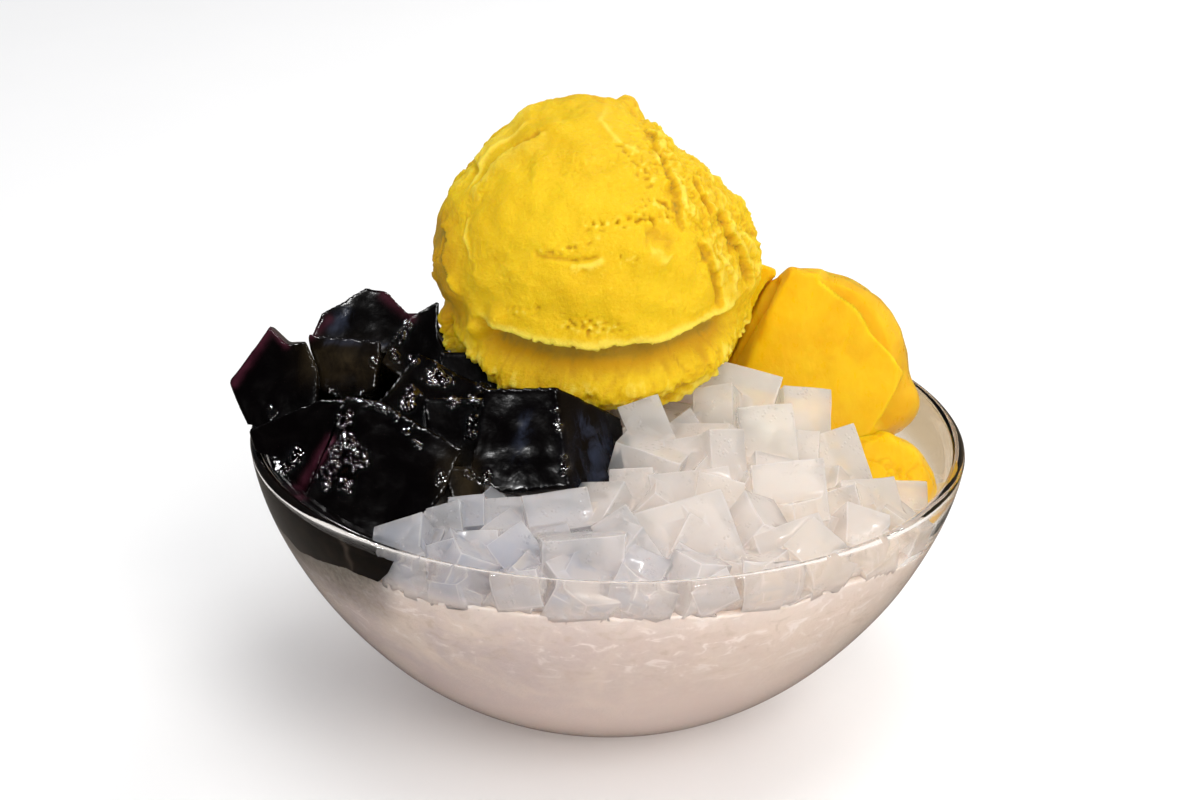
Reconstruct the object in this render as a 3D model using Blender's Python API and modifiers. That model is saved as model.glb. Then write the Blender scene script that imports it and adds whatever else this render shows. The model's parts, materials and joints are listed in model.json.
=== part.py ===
"""A clear bowl of grass jelly dessert.

It holds milky coconut ice, coconut jelly cubes, grass jelly blocks, mango and a scoop of mango ice cream.
Metres, +Z up. The bowl stands on Z = 0 with its axis on Z, and the dessert's front is towards -Y.
"""

import math
import random

import bmesh
import bpy
from mathutils import Matrix, Vector, noise

MM = 0.001
NAME = "grass_jelly_bowl"

# Bowl
RIM_RADIUS = 75 * MM
BOWL_HEIGHT = 59 * MM
FOOT_RADIUS = 22.4 * MM
BOWL_RISE = 1.535  # how fast the wall steepens with height
BOWL_BULGE = 1.594  # how full the wall is near the foot
WALL = 2.2 * MM
BASE_THICKNESS = 3.5 * MM
WALL_RINGS = 9
RING_CROWDING = 1.6  # above 1 it packs the wall's rings towards the foot
LIP_RINGS = 3
BOWL_SIDES = 48

# Clearances between pieces that touch
GAP = 0.3 * MM
CUTTER_MARGIN = 0.5 * MM
OPEN_AIR_RADIUS = 100 * MM
OPEN_AIR_TOP = 160 * MM

# Coconut ice, a milky mound that fills the lower bowl
ICE_WALL_LEVEL = 45 * MM
ICE_TOP = 62 * MM
ICE_FLAT_RADIUS = 24 * MM
ICE_RINGS = 5

# Coconut jelly cubes, heaped from the scoop down to the rim
HEAP_TOP = 74 * MM
HEAP_TOP_RADIUS = 22 * MM
HEAP_RIM_LEVEL = 57 * MM
HEAP_BOTTOM = 30 * MM
HEAP_CORE_DROP = 4.5 * MM
HEAP_LOW_SHARE = 0.35  # of the full rise, in front of the grass jelly
HEAP_RISE_AZIMUTHS = (-10, 20)  # over which the heap gains its full rise
HEAP_WALL_DROP = 9 * MM  # where the wall shows at the right
HEAP_DROP_AZIMUTHS = (60, 75)
HEAP_RINGS = 4
HEAP_SIDES = 32
HEAP_LEFT_EDGE = -40 * MM
LEFT_SIDE_SIZE = Vector((80, 220, 120)) * MM
LEFT_SIDE_HEIGHT = 60 * MM
CUBE_SIDE = 9 * MM
CUBE_LENGTH = 13 * MM
# Rows of scattered cubes: radius, then step, first and last azimuth in degrees
CUBE_ROWS = (
    (33 * MM, 20, -25, 42),
    (46 * MM, 15, -30, 58),
    (58 * MM, 12, -33, 52),
    (67 * MM, 10, -33, 50),
    (40 * MM, 18, 100, 215),
    (53 * MM, 14, 105, 205),
)

# Mango ice cream scoop
SCOOP_CENTRE = Vector((-3, 8, 95)) * MM
SCOOP_RADIUS = 32.0 * MM
SCOOP_BOTTOM = -22.5 * MM
SCOOP_FLAT_DISTANCE = 27.2 * MM
SCOOP_SIDES = 64
SCOOP_RINGS = 36
SCOOP_CUTTER_SIDES = 36
SCOOP_CUTTER_RINGS = 20
SCOOP_CUTTER_MARGIN = 1.6 * MM


# ---------------------------------------------------------------- helpers


def clear_scene():
    for old in list(bpy.data.objects):
        bpy.data.objects.remove(old, do_unlink=True)


def new_collection(name):
    collection = bpy.data.collections.new(name)
    bpy.context.scene.collection.children.link(collection)
    return collection


def principled(name, colour, roughness, transmission=0.0):
    material = bpy.data.materials.new(name)
    material.use_nodes = True
    shader = material.node_tree.nodes["Principled BSDF"]
    shader.inputs["Base Color"].default_value = (*colour, 1.0)
    shader.inputs["Roughness"].default_value = roughness
    shader.inputs["Metallic"].default_value = 0.0
    shader.inputs["Transmission Weight"].default_value = transmission
    material.diffuse_color = (*colour, 1.0)
    return material


def mesh_object(name, bm, collection):
    """Object from a bmesh, which is freed."""
    mesh = bpy.data.meshes.new(name)
    bm.to_mesh(mesh)
    bm.free()
    thing = bpy.data.objects.new(name, mesh)
    collection.objects.link(thing)
    return thing


def direction(azimuth, elevation):
    """Unit vector: azimuth 0 looks at the viewer (-Y), 90 to the right (+X); both in degrees."""
    turn, lift = math.radians(azimuth), math.radians(elevation)
    return Vector((math.sin(turn) * math.cos(lift), -math.cos(turn) * math.cos(lift), math.sin(lift)))


def facing_matrix(centre, azimuth, elevation, roll=0.0):
    """Frame at centre whose local Z points along direction(azimuth, elevation) and local X is level."""
    front = direction(azimuth, elevation)
    level = direction(azimuth + 90, 0)
    rotation = Matrix((level, front.cross(level), front)).transposed().to_4x4()
    return Matrix.Translation(Vector(centre)) @ rotation @ Matrix.Rotation(math.radians(roll), 4, "Z")


def ramp(value, start, end):
    """0 before the start, 1 after the end, straight between."""
    return min(max((value - start) / (end - start), 0.0), 1.0)


def evaluated_mesh(thing):
    bpy.context.view_layer.update()
    graph = bpy.context.evaluated_depsgraph_get()
    return bpy.data.meshes.new_from_object(thing.evaluated_get(graph))


def apply_modifiers(thing):
    mesh = evaluated_mesh(thing)
    thing.modifiers.clear()
    thing.data = mesh


def add_boolean(thing, operation, other):
    cut = thing.modifiers.new(operation.lower(), "BOOLEAN")
    cut.operation = operation
    if isinstance(other, bpy.types.Collection):
        cut.operand_type = "COLLECTION"
        cut.collection = other
    else:
        cut.object = other


def revolve(name, profile, sides, collection):
    """Turned solid from (radius, height) points that run up the inside and down the outside."""
    bm = bmesh.new()
    points = [bm.verts.new((radius, 0, height)) for radius, height in profile]
    for first, second in zip(points, points[1:]):
        bm.edges.new((first, second))
    thing = mesh_object(name, bm, collection)
    screw = thing.modifiers.new("turn", "SCREW")
    screw.steps = sides
    screw.render_steps = sides
    screw.use_merge_vertices = True
    screw.merge_threshold = 0.00001
    return thing


# ---------------------------------------------------------------- bowl


def outer_radius(height):
    share = ramp(height, 0.0, BOWL_HEIGHT)
    rise = (1 - (1 - share) ** BOWL_RISE) ** (1 / BOWL_BULGE)
    return FOOT_RADIUS + (RIM_RADIUS - FOOT_RADIUS) * rise


def inner_radius(height):
    """Radius of the hollow: the outer curve, squeezed in height by the thick base, less the wall."""
    share = (height - BASE_THICKNESS) / (BOWL_HEIGHT - BASE_THICKNESS)
    return outer_radius(share * BOWL_HEIGHT) - WALL


def wall_heights(bottom):
    """Heights of the wall's rings from a bottom to the lip, packed closer where the wall bends most."""
    top = BOWL_HEIGHT - WALL / 2
    return [bottom + (top - bottom) * (ring / WALL_RINGS) ** RING_CROWDING for ring in range(WALL_RINGS + 1)]


def make_bowl(collection):
    lip_radius = RIM_RADIUS - WALL / 2
    lip_height = BOWL_HEIGHT - WALL / 2
    inside = [(inner_radius(height), height) for height in wall_heights(BASE_THICKNESS)]
    lip = []
    for ring in range(1, LIP_RINGS + 1):
        angle = math.pi * (1 - ring / (LIP_RINGS + 1))
        lip.append((lip_radius + WALL / 2 * math.cos(angle), lip_height + WALL / 2 * math.sin(angle)))
    outside = [(outer_radius(height), height) for height in reversed(wall_heights(0.0))]
    profile = [(0, BASE_THICKNESS)] + inside + lip + outside + [(0, 0)]
    return revolve("bowl", profile, BOWL_SIDES, collection)


def make_free_space(collection):
    """Where the contents may be: the hollow of the bowl less a gap, and the open air above it."""
    top = BOWL_HEIGHT + GAP
    side = [(inner_radius(height) - GAP, height + GAP) for height in wall_heights(BASE_THICKNESS)]
    air = [(0, OPEN_AIR_TOP), (OPEN_AIR_RADIUS, OPEN_AIR_TOP), (OPEN_AIR_RADIUS, top), (side[-1][0], top)]
    space = revolve("free_space", air + side[::-1] + [(0, BASE_THICKNESS + GAP)], BOWL_SIDES, collection)
    apply_modifiers(space)
    return space


# ---------------------------------------------------------------- coconut ice


def ice_level(radius):
    """Height of the ice: flat under the scoop, falling in a smooth slope to the wall."""
    share = ramp(radius, ICE_FLAT_RADIUS, inner_radius(ICE_WALL_LEVEL))
    return ICE_WALL_LEVEL + (ICE_TOP - ICE_WALL_LEVEL) * (0.5 + 0.5 * math.cos(math.pi * share))


def make_ice(name, collection, margin=0.0):
    """The mound as a turned block that reaches past the wall; the free space trims it."""
    edge = inner_radius(ICE_WALL_LEVEL)
    top = [(0, ICE_TOP + margin)]
    for ring in range(ICE_RINGS + 1):
        radius = ICE_FLAT_RADIUS + (edge - ICE_FLAT_RADIUS) * ring / ICE_RINGS
        top.append((radius, ice_level(radius) + margin))
    profile = top + [(OPEN_AIR_RADIUS, ICE_WALL_LEVEL + margin), (OPEN_AIR_RADIUS, 0), (0, 0)]
    ice = revolve(name, profile, BOWL_SIDES, collection)
    apply_modifiers(ice)
    return ice


# ---------------------------------------------------------------- mango ice cream


def seen_from_front(right, up, near):
    """Unit vector from its shares to the right, up and towards a viewer 23 degrees above level."""
    return (Vector((1, 0, 0)) * right + direction(180, 67) * up + direction(0, 23) * near).normalized()


SCOOP_FLAT = seen_from_front(0.616, 0.788, 0.10)  # the side that a knife or the lid pressed flat
# Lumps and dents on the scoop: direction, half angle in radians, height
SCOOP_LUMPS = (
    (seen_from_front(0.18, 0.98, 0.10), 0.09, 2.9 * MM),
    (seen_from_front(0.36, 0.92, 0.10), 0.07, -1.2 * MM),
    (seen_from_front(-0.28, 0.96, 0.10), 0.34, 1.1 * MM),
    (seen_from_front(-1.0, -0.02, 0.10), 0.40, 2.4 * MM),
    (seen_from_front(0.98, -0.12, 0.20), 0.24, 2.0 * MM),
    (seen_from_front(-0.75, -0.50, 0.45), 0.10, 2.6 * MM),
    (seen_from_front(-0.62, -0.45, 0.65), 0.07, 1.4 * MM),
    (seen_from_front(0.30, -0.05, 0.95), 0.20, 1.0 * MM),
    (seen_from_front(0.10, 0.10, -1.0), 0.40, 1.2 * MM),
)


def scoop_lip_level(x):
    """Height of the pressed edge below the centre: lowest in front, rising to both sides."""
    return -8.6 * MM + 0.03 * x + 6.0 * x * x


def scoop_radius(way):
    """Distance from the scoop's centre to its surface along a unit vector."""
    facing = way.dot(SCOOP_FLAT)
    radius = min(SCOOP_RADIUS, SCOOP_FLAT_DISTANCE / facing) if facing > 0 else SCOOP_RADIUS
    for lump, spread, height in SCOOP_LUMPS:
        radius += height * math.exp(-((way.angle(lump) / spread) ** 2))
    below = scoop_lip_level(way.x * SCOOP_RADIUS) - way.z * SCOOP_RADIUS
    in_front = 0.15 + 0.85 * ramp(-way.y, 0.40, 0.65)
    lip = 1.5 * MM * math.exp(-((below / (2.0 * MM)) ** 2))
    groove = 1.4 * MM * math.exp(-(((below - 3.6 * MM) / (1.9 * MM)) ** 2))
    flare = ramp(below, 4.0 * MM, 12.0 * MM)
    skirt = 4.2 * MM * flare * flare * (3 - 2 * flare)
    ragged = noise.noise(way * 6.0) * 0.9 * MM + noise.noise(way * 14.0) * 0.5 * MM * (0.4 + flare)
    return radius + in_front * (lip - groove) + skirt + ragged


def make_scoop(name, sides, rings, collection, margin=0.0):
    bm = bmesh.new()
    bmesh.ops.create_uvsphere(bm, u_segments=sides, v_segments=rings, radius=1.0)
    for vert in bm.verts:
        way = vert.co.normalized()
        point = way * (scoop_radius(way) + margin)
        point.z = max(point.z, SCOOP_BOTTOM - margin)
        vert.co = point
    scoop = mesh_object(name, bm, collection)
    scoop.location = SCOOP_CENTRE
    return scoop


# ---------------------------------------------------------------- grass jelly

# Blocks, those in front first. Each has the centre and the outline of its front face in mm, the way that
# the face looks and the way that the block runs back from it, in degrees, and its depth in mm.
GRASS_JELLY = {
    "front": (
        (-47, -37, 62), (-16, 36), ((-14, -13), (6, -20), (16, 0), (18, 9), (-1, 16), (-8, 16)),
        (195, -40), 26,
    ),
    "crest": (
        (-35, -18, 72), (8, 52), ((-12, -1), (-4, -8), (6, -8), (8, 0), (11, 2), (-3, 11)), (185, -60), 22,
    ),
    "right": (
        (-19, -38, 71), (-14, 24), ((-8, -7), (-1, -10), (13, -7), (8, 12), (-7, 10)), (128, -28), 20,
    ),
    "low": (
        (-63, -22, 63), (-30, 34), ((-12, 0), (-8, -5), (0, -10), (6, -11), (9, 3), (9, 11), (2, 10)),
        (190, -30), 24,
    ),
    "rim": (
        (-69, -4, 69), (-22, 22),
        ((-11, -2), (-5, -11), (2, -11), (10, -3), (9, 3), (5, 9), (1, 8), (-4, 11)),
        (185, -18), 18,
    ),
    "middle": ((-56, -2, 71), (-10, 28), ((-8, 7), (-5, -4), (2, -7), (8, -3), (8, 7)), (182, -40), 24),
    "wedge": (
        (-38, 0, 76), (-8, 30), ((-10, -4), (-5, -7), (9, -5), (9, 0), (1, 10), (-4, 6)), (190, -40), 22,
    ),
    "peak": ((-54, 16, 76), (0, 40), ((-10, -5), (6, -8), (12, 0), (6, 6), (1, 7), (-8, 1)), (185, -50), 22),
    "back_left": ((-60, 31, 58), (-60, 10), ((-13, -12), (13, -12), (11, 7), (-12, 9)), (120, -5), 24),
    "back": ((-36, 50, 55), (-160, 25), ((-15, -10), (14, -10), (12, 7), (-13, 6)), (20, -20), 22),
    "deep_front": ((-58, -42, 46), (-52, 0), ((-17, -5), (17, -5), (17, 5), (-17, 5)), (128, 0), 28),
    "deep_side": ((-72, -8, 48), (-84, 0), ((-17, -7), (17, -7), (17, 7), (-17, 7)), (96, 0), 28),
    "deep_back": ((-62, 30, 50), (-118, 0), ((-17, -8), (17, -8), (17, 8), (-17, 8)), (62, 0), 26),
}
SLAB_TAPER = 0.9


def slab(name, collection, centre, facing, outline, run, depth):
    """Block with a flat outline as its front face, drawn back along a slanting way and tapered."""
    curve = bpy.data.curves.new(name, "CURVE")
    curve.dimensions = "2D"
    curve.fill_mode = "BOTH"
    curve.extrude = 0.5
    spline = curve.splines.new("POLY")
    spline.points.add(len(outline) - 1)
    for point, (across, up) in zip(spline.points, outline):
        point.co = (across * MM, up * MM, 0, 1)
    spline.use_cyclic_u = True
    drawn = bpy.data.objects.new(name + "_outline", curve)
    collection.objects.link(drawn)
    mesh = evaluated_mesh(drawn)
    bpy.data.objects.remove(drawn)

    frame = facing_matrix(Vector(centre) * MM, *facing)
    back = frame.to_3x3().inverted() @ direction(*run) * depth * MM
    bm = bmesh.new()
    bm.from_mesh(mesh)
    bmesh.ops.remove_doubles(bm, verts=bm.verts, dist=0.00001)
    for vert in bm.verts:
        in_back = vert.co.z < 0
        vert.co.z = 0
        if in_back:
            vert.co = vert.co * SLAB_TAPER + back
    bmesh.ops.recalc_face_normals(bm, faces=bm.faces)
    bmesh.ops.transform(bm, matrix=frame, verts=bm.verts)
    return mesh_object(name, bm, collection)


# ---------------------------------------------------------------- mango

# Cheeks and chunks: centre and radii in mm, the way each faces, its knife cuts (way, distance in mm from the
# centre), sides and rings
MANGO = {
    "cheek": (
        (44, 17, 66), (21, 22, 20), (-8, 30), (((-14, 26), 9), ((-80, 28), 15), ((0, -90), 12)), 24, 12,
    ),
    "low": ((58, -3, 48), (12, 12, 10), (20, 45), (((5, 50), 8), ((0, -90), 7)), 16, 8),
    "back": ((38, 43, 60), (17, 15, 13), (150, 30), (((150, 40), 9), ((0, -90), 11)), 16, 8),
    "back_middle": ((8, 48, 62), (16, 13, 13), (185, 40), (((190, 45), 8), ((0, -90), 12)), 16, 8),
}
# A slice behind the cheek, given as a block of grass jelly is
MANGO_SLICE = (
    (29, 25, 77), (-30, 30), ((-13, -13), (2, -14), (10, -2), (5, 10), (-5, 11), (-9, 0)), (190, -15), 16,
)


def cut_flat(bm, point, outward):
    """Cuts a closed mesh at a plane and closes the cut, dropping what lies outward of it."""
    geometry = bm.verts[:] + bm.edges[:] + bm.faces[:]
    cut = bmesh.ops.bisect_plane(
        bm, geom=geometry, dist=0.000001, plane_co=point, plane_no=outward, clear_outer=True
    )
    edges = [item for item in cut["geom_cut"] if isinstance(item, bmesh.types.BMEdge)]
    bmesh.ops.edgeloop_fill(bm, edges=edges)


def cheek(name, collection, centre, radii, facing, cuts, sides, rings):
    """Rounded chunk: an ellipsoid turned to face a way, with flat knife cuts."""
    bm = bmesh.new()
    bmesh.ops.create_uvsphere(bm, u_segments=sides, v_segments=rings, radius=1.0)
    bmesh.ops.scale(bm, vec=Vector(radii) * MM, verts=bm.verts)
    bmesh.ops.transform(bm, matrix=facing_matrix((0, 0, 0), *facing), verts=bm.verts)
    for way, distance in cuts:
        outward = direction(*way)
        cut_flat(bm, outward * distance * MM, outward)
    bmesh.ops.translate(bm, vec=Vector(centre) * MM, verts=bm.verts)
    return mesh_object(name, bm, collection)


# ---------------------------------------------------------------- coconut jelly

# Cubes seen at the front: centre of the largest face, the way it looks, its roll, and the cube's size
# across, up and deep, in mm and degrees
FRONT_CUBES = (
    ((-34, -61, 57), (-25, 15), 25, (10, 7, 7)),
    ((-31, -52, 60), (-25, 35), 28, (7, 8, 9)),
    ((-27, -51, 62), (-20, 45), 15, (8, 7, 9)),
    ((-20, -52, 62), (-10, 50), 12, (9, 8, 10)),
    ((-9, -52, 63), (5, 55), 10, (12, 8, 10)),
    ((-24, -62, 60), (-15, 30), 10, (8, 7, 8)),
    ((-17, -62, 60), (10, 35), 32, (8, 7, 8)),
    ((-4, -66, 60), (0, 25), 6, (17, 9, 9)),
    ((4, -60, 61), (-15, 35), 42, (8, 13, 9)),
    ((5, -44, 64), (-10, 40), 8, (8, 9, 9)),
    ((8, -28, 71), (-5, 30), 22, (8, 10, 9)),
    ((15, -33, 66), (-5, 32), 14, (17, 9, 12)),
    ((16, -58, 62), (10, 40), 12, (16, 13, 11)),
    ((17, -46, 64), (0, 45), 10, (15, 11, 11)),
    ((21, -20, 72), (-20, 38), 18, (9, 10, 10)),
    ((24, -36, 67), (30, 30), -10, (7, 13, 9)),
    ((27, -10, 73), (0, 50), -15, (15, 9, 12)),
    ((32, -29, 70), (0, 35), 7, (11, 13, 11)),
    ((36, -43, 64), (12, 38), 2, (14, 12, 11)),
    ((36, -57, 60), (20, 40), 12, (15, 8, 9)),
    ((41, -12, 68), (15, 35), -10, (10, 11, 11)),
    ((46, -26, 63), (25, 38), 7, (14, 13, 11)),
    ((53, -35, 59), (30, 40), -5, (12, 9, 9)),
    ((62, -22, 55), (20, 40), -10, (7, 6, 7)),
)


def heap_level(radius, azimuth):
    """Height of the cubes: a slope from scoop to rim, lower by the grass jelly and by the open wall."""
    rise = 1 - ramp(radius, HEAP_TOP_RADIUS, RIM_RADIUS)
    share = HEAP_LOW_SHARE + (1 - HEAP_LOW_SHARE) * ramp(azimuth, *HEAP_RISE_AZIMUTHS)
    rim_level = HEAP_RIM_LEVEL - HEAP_WALL_DROP * ramp(azimuth, *HEAP_DROP_AZIMUTHS)
    return rim_level + (HEAP_TOP - HEAP_RIM_LEVEL) * rise * share


def make_heap_core(collection):
    edge = inner_radius(HEAP_RIM_LEVEL)
    step = (edge - HEAP_TOP_RADIUS) / HEAP_RINGS
    top = [(HEAP_TOP_RADIUS + step * ring, HEAP_TOP) for ring in range(HEAP_RINGS + 1)]
    profile = [(0, HEAP_TOP)] + top + [(edge, HEAP_BOTTOM), (0, HEAP_BOTTOM)]
    core = revolve("coconut_jelly", profile, HEAP_SIDES, collection)
    apply_modifiers(core)
    for vert in core.data.vertices:
        if vert.co.z > HEAP_BOTTOM + GAP:
            azimuth = math.degrees(math.atan2(vert.co.x, -vert.co.y))
            azimuth += 360 if azimuth < -90 else 0
            vert.co.z = heap_level(vert.co.xy.length, azimuth) - HEAP_CORE_DROP
    return core


def block(name, collection, frame, size):
    """A box of the given size in a frame."""
    bm = bmesh.new()
    bmesh.ops.create_cube(bm, size=1.0)
    bmesh.ops.scale(bm, vec=size, verts=bm.verts)
    bmesh.ops.transform(bm, matrix=frame, verts=bm.verts)
    return mesh_object(name, bm, collection)


def make_front_cubes(collection):
    for index, (centre, facing, roll, size) in enumerate(FRONT_CUBES):
        face = facing_matrix(Vector(centre) * MM, *facing, roll)
        middle = Matrix.Translation((0, 0, -size[2] / 2 * MM))
        block(f"front_cube_{index}", collection, face @ middle, Vector(size) * MM)


def scatter_cubes(collection):
    """Rows of cubes over the rest of the mound: the front, and lower down behind the scoop."""
    chance = random.Random(11)
    for row, (radius, step, first, last) in enumerate(CUBE_ROWS):
        azimuth = first
        while azimuth < last:
            centre = direction(azimuth, 0) * radius
            centre.z = heap_level(radius, azimuth) - chance.uniform(4.0, 5.5) * MM
            size = Vector((CUBE_SIDE, CUBE_SIDE, CUBE_LENGTH)) * chance.uniform(0.85, 1.1)
            turn, lift, roll = chance.uniform(0, 360), chance.uniform(10, 80), chance.uniform(0, 90)
            block(f"cube_{row}_{azimuth:.0f}", collection, facing_matrix(centre, turn, lift, roll), size)
            azimuth += step * chance.uniform(0.85, 1.15)


def make_heap(collection, left_side):
    """Core and cubes fused to one solid, with the grass jelly's side left free."""
    cubes = new_collection("cubes_to_fuse")
    make_front_cubes(cubes)
    scatter_cubes(cubes)
    heap = make_heap_core(collection)
    add_boolean(heap, "UNION", cubes)
    add_boolean(heap, "DIFFERENCE", left_side)
    apply_modifiers(heap)
    for cube in list(cubes.objects):
        bpy.data.objects.remove(cube)
    bpy.data.collections.remove(cubes)
    return heap


# ---------------------------------------------------------------- fitting the pieces together


def box_of(thing):
    """Lowest and highest value on each axis, in the world."""
    points = [thing.matrix_world @ vert.co for vert in thing.data.vertices]
    return [(min(values), max(values)) for values in zip(*points)]


def boxes_meet(first, second):
    return all(a[0] < b[1] and b[0] < a[1] for a, b in zip(box_of(first), box_of(second)))


def grown_copy(thing, collection):
    """Copy swollen by a margin, which cuts a neighbour back so that the two don't touch."""
    copy = bpy.data.objects.new(thing.name + "_cutter", thing.data.copy())
    collection.objects.link(copy)
    swell = copy.modifiers.new("swell", "DISPLACE")
    swell.strength = CUTTER_MARGIN
    swell.mid_level = 0
    apply_modifiers(copy)
    return copy


def connected_bodies(bm):
    left = set(bm.verts)
    bodies = []
    while left:
        body = []
        front = [left.pop()]
        while front:
            vert = front.pop()
            body.append(vert)
            found = {edge.other_vert(vert) for edge in vert.link_edges} & left
            left -= found
            front.extend(found)
        bodies.append(body)
    return bodies


def box_volume(verts):
    low = [min(vert.co[axis] for vert in verts) for axis in range(3)]
    high = [max(vert.co[axis] for vert in verts) for axis in range(3)]
    return math.prod(b - a for a, b in zip(low, high))


def keep_largest_body(thing):
    """Drops the loose scraps that a cut leaves."""
    bm = bmesh.new()
    bm.from_mesh(thing.data)
    bodies = sorted(connected_bodies(bm), key=box_volume)
    loose = [vert for body in bodies[:-1] for vert in body]
    bmesh.ops.delete(bm, geom=loose, context="VERTS")
    bm.to_mesh(thing.data)
    bm.free()


def fit(thing, free_space, cutters):
    """Trims a piece to the free space and to its neighbours' cutters, keeping one body."""
    add_boolean(thing, "INTERSECT", free_space)
    apply_modifiers(thing)
    for cutter in cutters:
        if boxes_meet(thing, cutter):
            add_boolean(thing, "DIFFERENCE", cutter)
            apply_modifiers(thing)
    keep_largest_body(thing)


def main():
    clear_scene()
    parts = new_collection(NAME)
    helpers = new_collection("cutters")

    glass = principled("clear_glass", (0.86, 0.87, 0.85), 0.05, transmission=0.9)
    milky_ice = principled("coconut_ice", (0.57, 0.46, 0.38), 0.45)
    white_jelly = principled("coconut_jelly", (0.65, 0.61, 0.58), 0.20)
    black_jelly = principled("grass_jelly", (0.008, 0.005, 0.007), 0.12)
    mango_flesh = principled("mango", (0.85, 0.47, 0.01), 0.35)
    ice_cream = principled("ice_cream", (0.90, 0.57, 0.012), 0.55)

    bowl = make_bowl(parts)
    bowl.data.materials.append(glass)
    free_space = make_free_space(helpers)

    scoop = make_scoop("ice_cream", SCOOP_SIDES, SCOOP_RINGS, parts)
    scoop.data.materials.append(ice_cream)
    cutters = [
        make_scoop("scoop_cutter", SCOOP_CUTTER_SIDES, SCOOP_CUTTER_RINGS, helpers, SCOOP_CUTTER_MARGIN)
    ]

    pieces = [(slab(f"grass_jelly_{label}", parts, *row), black_jelly) for label, row in GRASS_JELLY.items()]
    pieces += [(cheek(f"mango_{label}", parts, *row), mango_flesh) for label, row in MANGO.items()]
    pieces += [(slab("mango_slice", parts, *MANGO_SLICE), mango_flesh)]
    for piece, material in pieces:
        cutter = grown_copy(piece, helpers)
        fit(piece, free_space, cutters)
        piece.data.materials.append(material)
        cutters.append(cutter)

    left_side_middle = Vector((HEAP_LEFT_EDGE - LEFT_SIDE_SIZE.x / 2, 0, LEFT_SIDE_HEIGHT))
    left_side = block("left_side", helpers, Matrix.Translation(left_side_middle), LEFT_SIDE_SIZE)
    heap = make_heap(parts, left_side)
    fit(heap, free_space, cutters + [make_ice("ice_cutter", helpers, GAP)])
    heap.data.materials.append(white_jelly)

    ice = make_ice("coconut_ice", parts)
    fit(ice, free_space, cutters)
    ice.data.materials.append(milky_ice)

    for helper in helpers.objects:
        helper.hide_render = True
        helper.display_type = "WIRE"


main()
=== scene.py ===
"""Looks for a clear bowl of grass jelly dessert: coconut ice, coconut jelly, grass jelly, mango and a scoop.

Metres, +Z up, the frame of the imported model. The dessert's front is towards -Y.
"""

import json
import math
import random

import bmesh
import bpy
import numpy as np
from mathutils import Matrix, Vector, kdtree, noise

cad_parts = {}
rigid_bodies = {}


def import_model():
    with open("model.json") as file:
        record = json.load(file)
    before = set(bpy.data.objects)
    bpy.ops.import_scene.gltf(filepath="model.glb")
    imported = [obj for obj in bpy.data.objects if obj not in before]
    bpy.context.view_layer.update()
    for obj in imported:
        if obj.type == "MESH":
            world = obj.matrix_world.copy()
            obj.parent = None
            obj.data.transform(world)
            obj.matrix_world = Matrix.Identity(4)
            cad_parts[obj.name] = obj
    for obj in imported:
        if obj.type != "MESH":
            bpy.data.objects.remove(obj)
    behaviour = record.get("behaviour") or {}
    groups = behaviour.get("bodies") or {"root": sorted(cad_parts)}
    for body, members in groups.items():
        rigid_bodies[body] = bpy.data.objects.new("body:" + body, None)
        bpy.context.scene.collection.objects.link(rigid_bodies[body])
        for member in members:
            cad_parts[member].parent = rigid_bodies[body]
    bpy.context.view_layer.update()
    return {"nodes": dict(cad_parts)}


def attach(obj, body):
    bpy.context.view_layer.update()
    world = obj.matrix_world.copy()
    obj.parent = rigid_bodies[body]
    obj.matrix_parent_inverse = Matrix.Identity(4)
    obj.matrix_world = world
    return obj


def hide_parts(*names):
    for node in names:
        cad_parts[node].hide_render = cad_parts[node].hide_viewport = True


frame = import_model()
MM = 0.001

# ---------------------------------------------------------------- sizes

RIM_RADIUS = 75 * MM
BOWL_HEIGHT = 59 * MM
FOOT_RADIUS = 22.4 * MM
BOWL_SIDES = 256
BOWL_RISE = 1.535
BOWL_BULGE = 1.594
WALL = 2.2 * MM
BASE_THICKNESS = 3.5 * MM
LIP_BAND = 2.4 * MM  # height of the thicker band under the lip
LIP_PROUD = 0.45 * MM

ICE_WALL_LEVEL = 44.5 * MM  # behind
ICE_FRONT_RISE = 6 * MM
ICE_DARK_LEVEL = 50.5 * MM  # at most, under the black jelly
DARK_END = -33  # azimuth where the black jelly at the glass ends, in degrees
ICE_TOP = 62 * MM
ICE_FLAT_RADIUS = 24 * MM

HEAP_TOP = 74 * MM
HEAP_TOP_RADIUS = 22 * MM
HEAP_RIM_LEVEL = 57 * MM
HEAP_FLOOR = 36 * MM
HEAP_CORE_DROP = 4.5 * MM
HEAP_LEFT_EDGE = -40 * MM
HEAP_SIDES = 160

SCOOP_CENTRE = Vector((-3, 8, 95)) * MM
SCOOP_RADIUS = 32.0 * MM
SCOOP_BOTTOM = -22.5 * MM
SCOOP_FLAT_DISTANCE = 27.2 * MM
SCOOP_LIP = -8.6 * MM  # height of the lip over the scoop's centre
SCOOP_CELLS = 124

CAMERA_ELEVATION = math.radians(23.0)
CAMERA_ROLL = math.radians(1.5)
CAMERA_DISTANCE = 0.550
CAMERA_TARGET = Vector((0, 0, BOWL_HEIGHT))
SENSOR_WIDTH, LENS = 36, 78.18  # mm
PHOTO_WIDTH, PHOTO_HEIGHT = 1200, 800
RIM_PIXEL = (608, 426.5)  # where the photograph shows the middle of the rim

# ---------------------------------------------------------------- numbers


def ramp(value, start, end):
    return np.clip((value - start) / (end - start), 0.0, 1.0)


def smooth(value, start, end):
    share = ramp(value, start, end)
    return share * share * (3 - 2 * share)


def bell(value):
    """1 at zero, falling off on both sides."""
    return np.exp(-(value**2))


def unit(vectors):
    return vectors / np.linalg.norm(vectors, axis=-1, keepdims=True)


def angles_to(ways, way):
    return np.arccos(np.clip(ways @ np.array(way), -1, 1))


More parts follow.
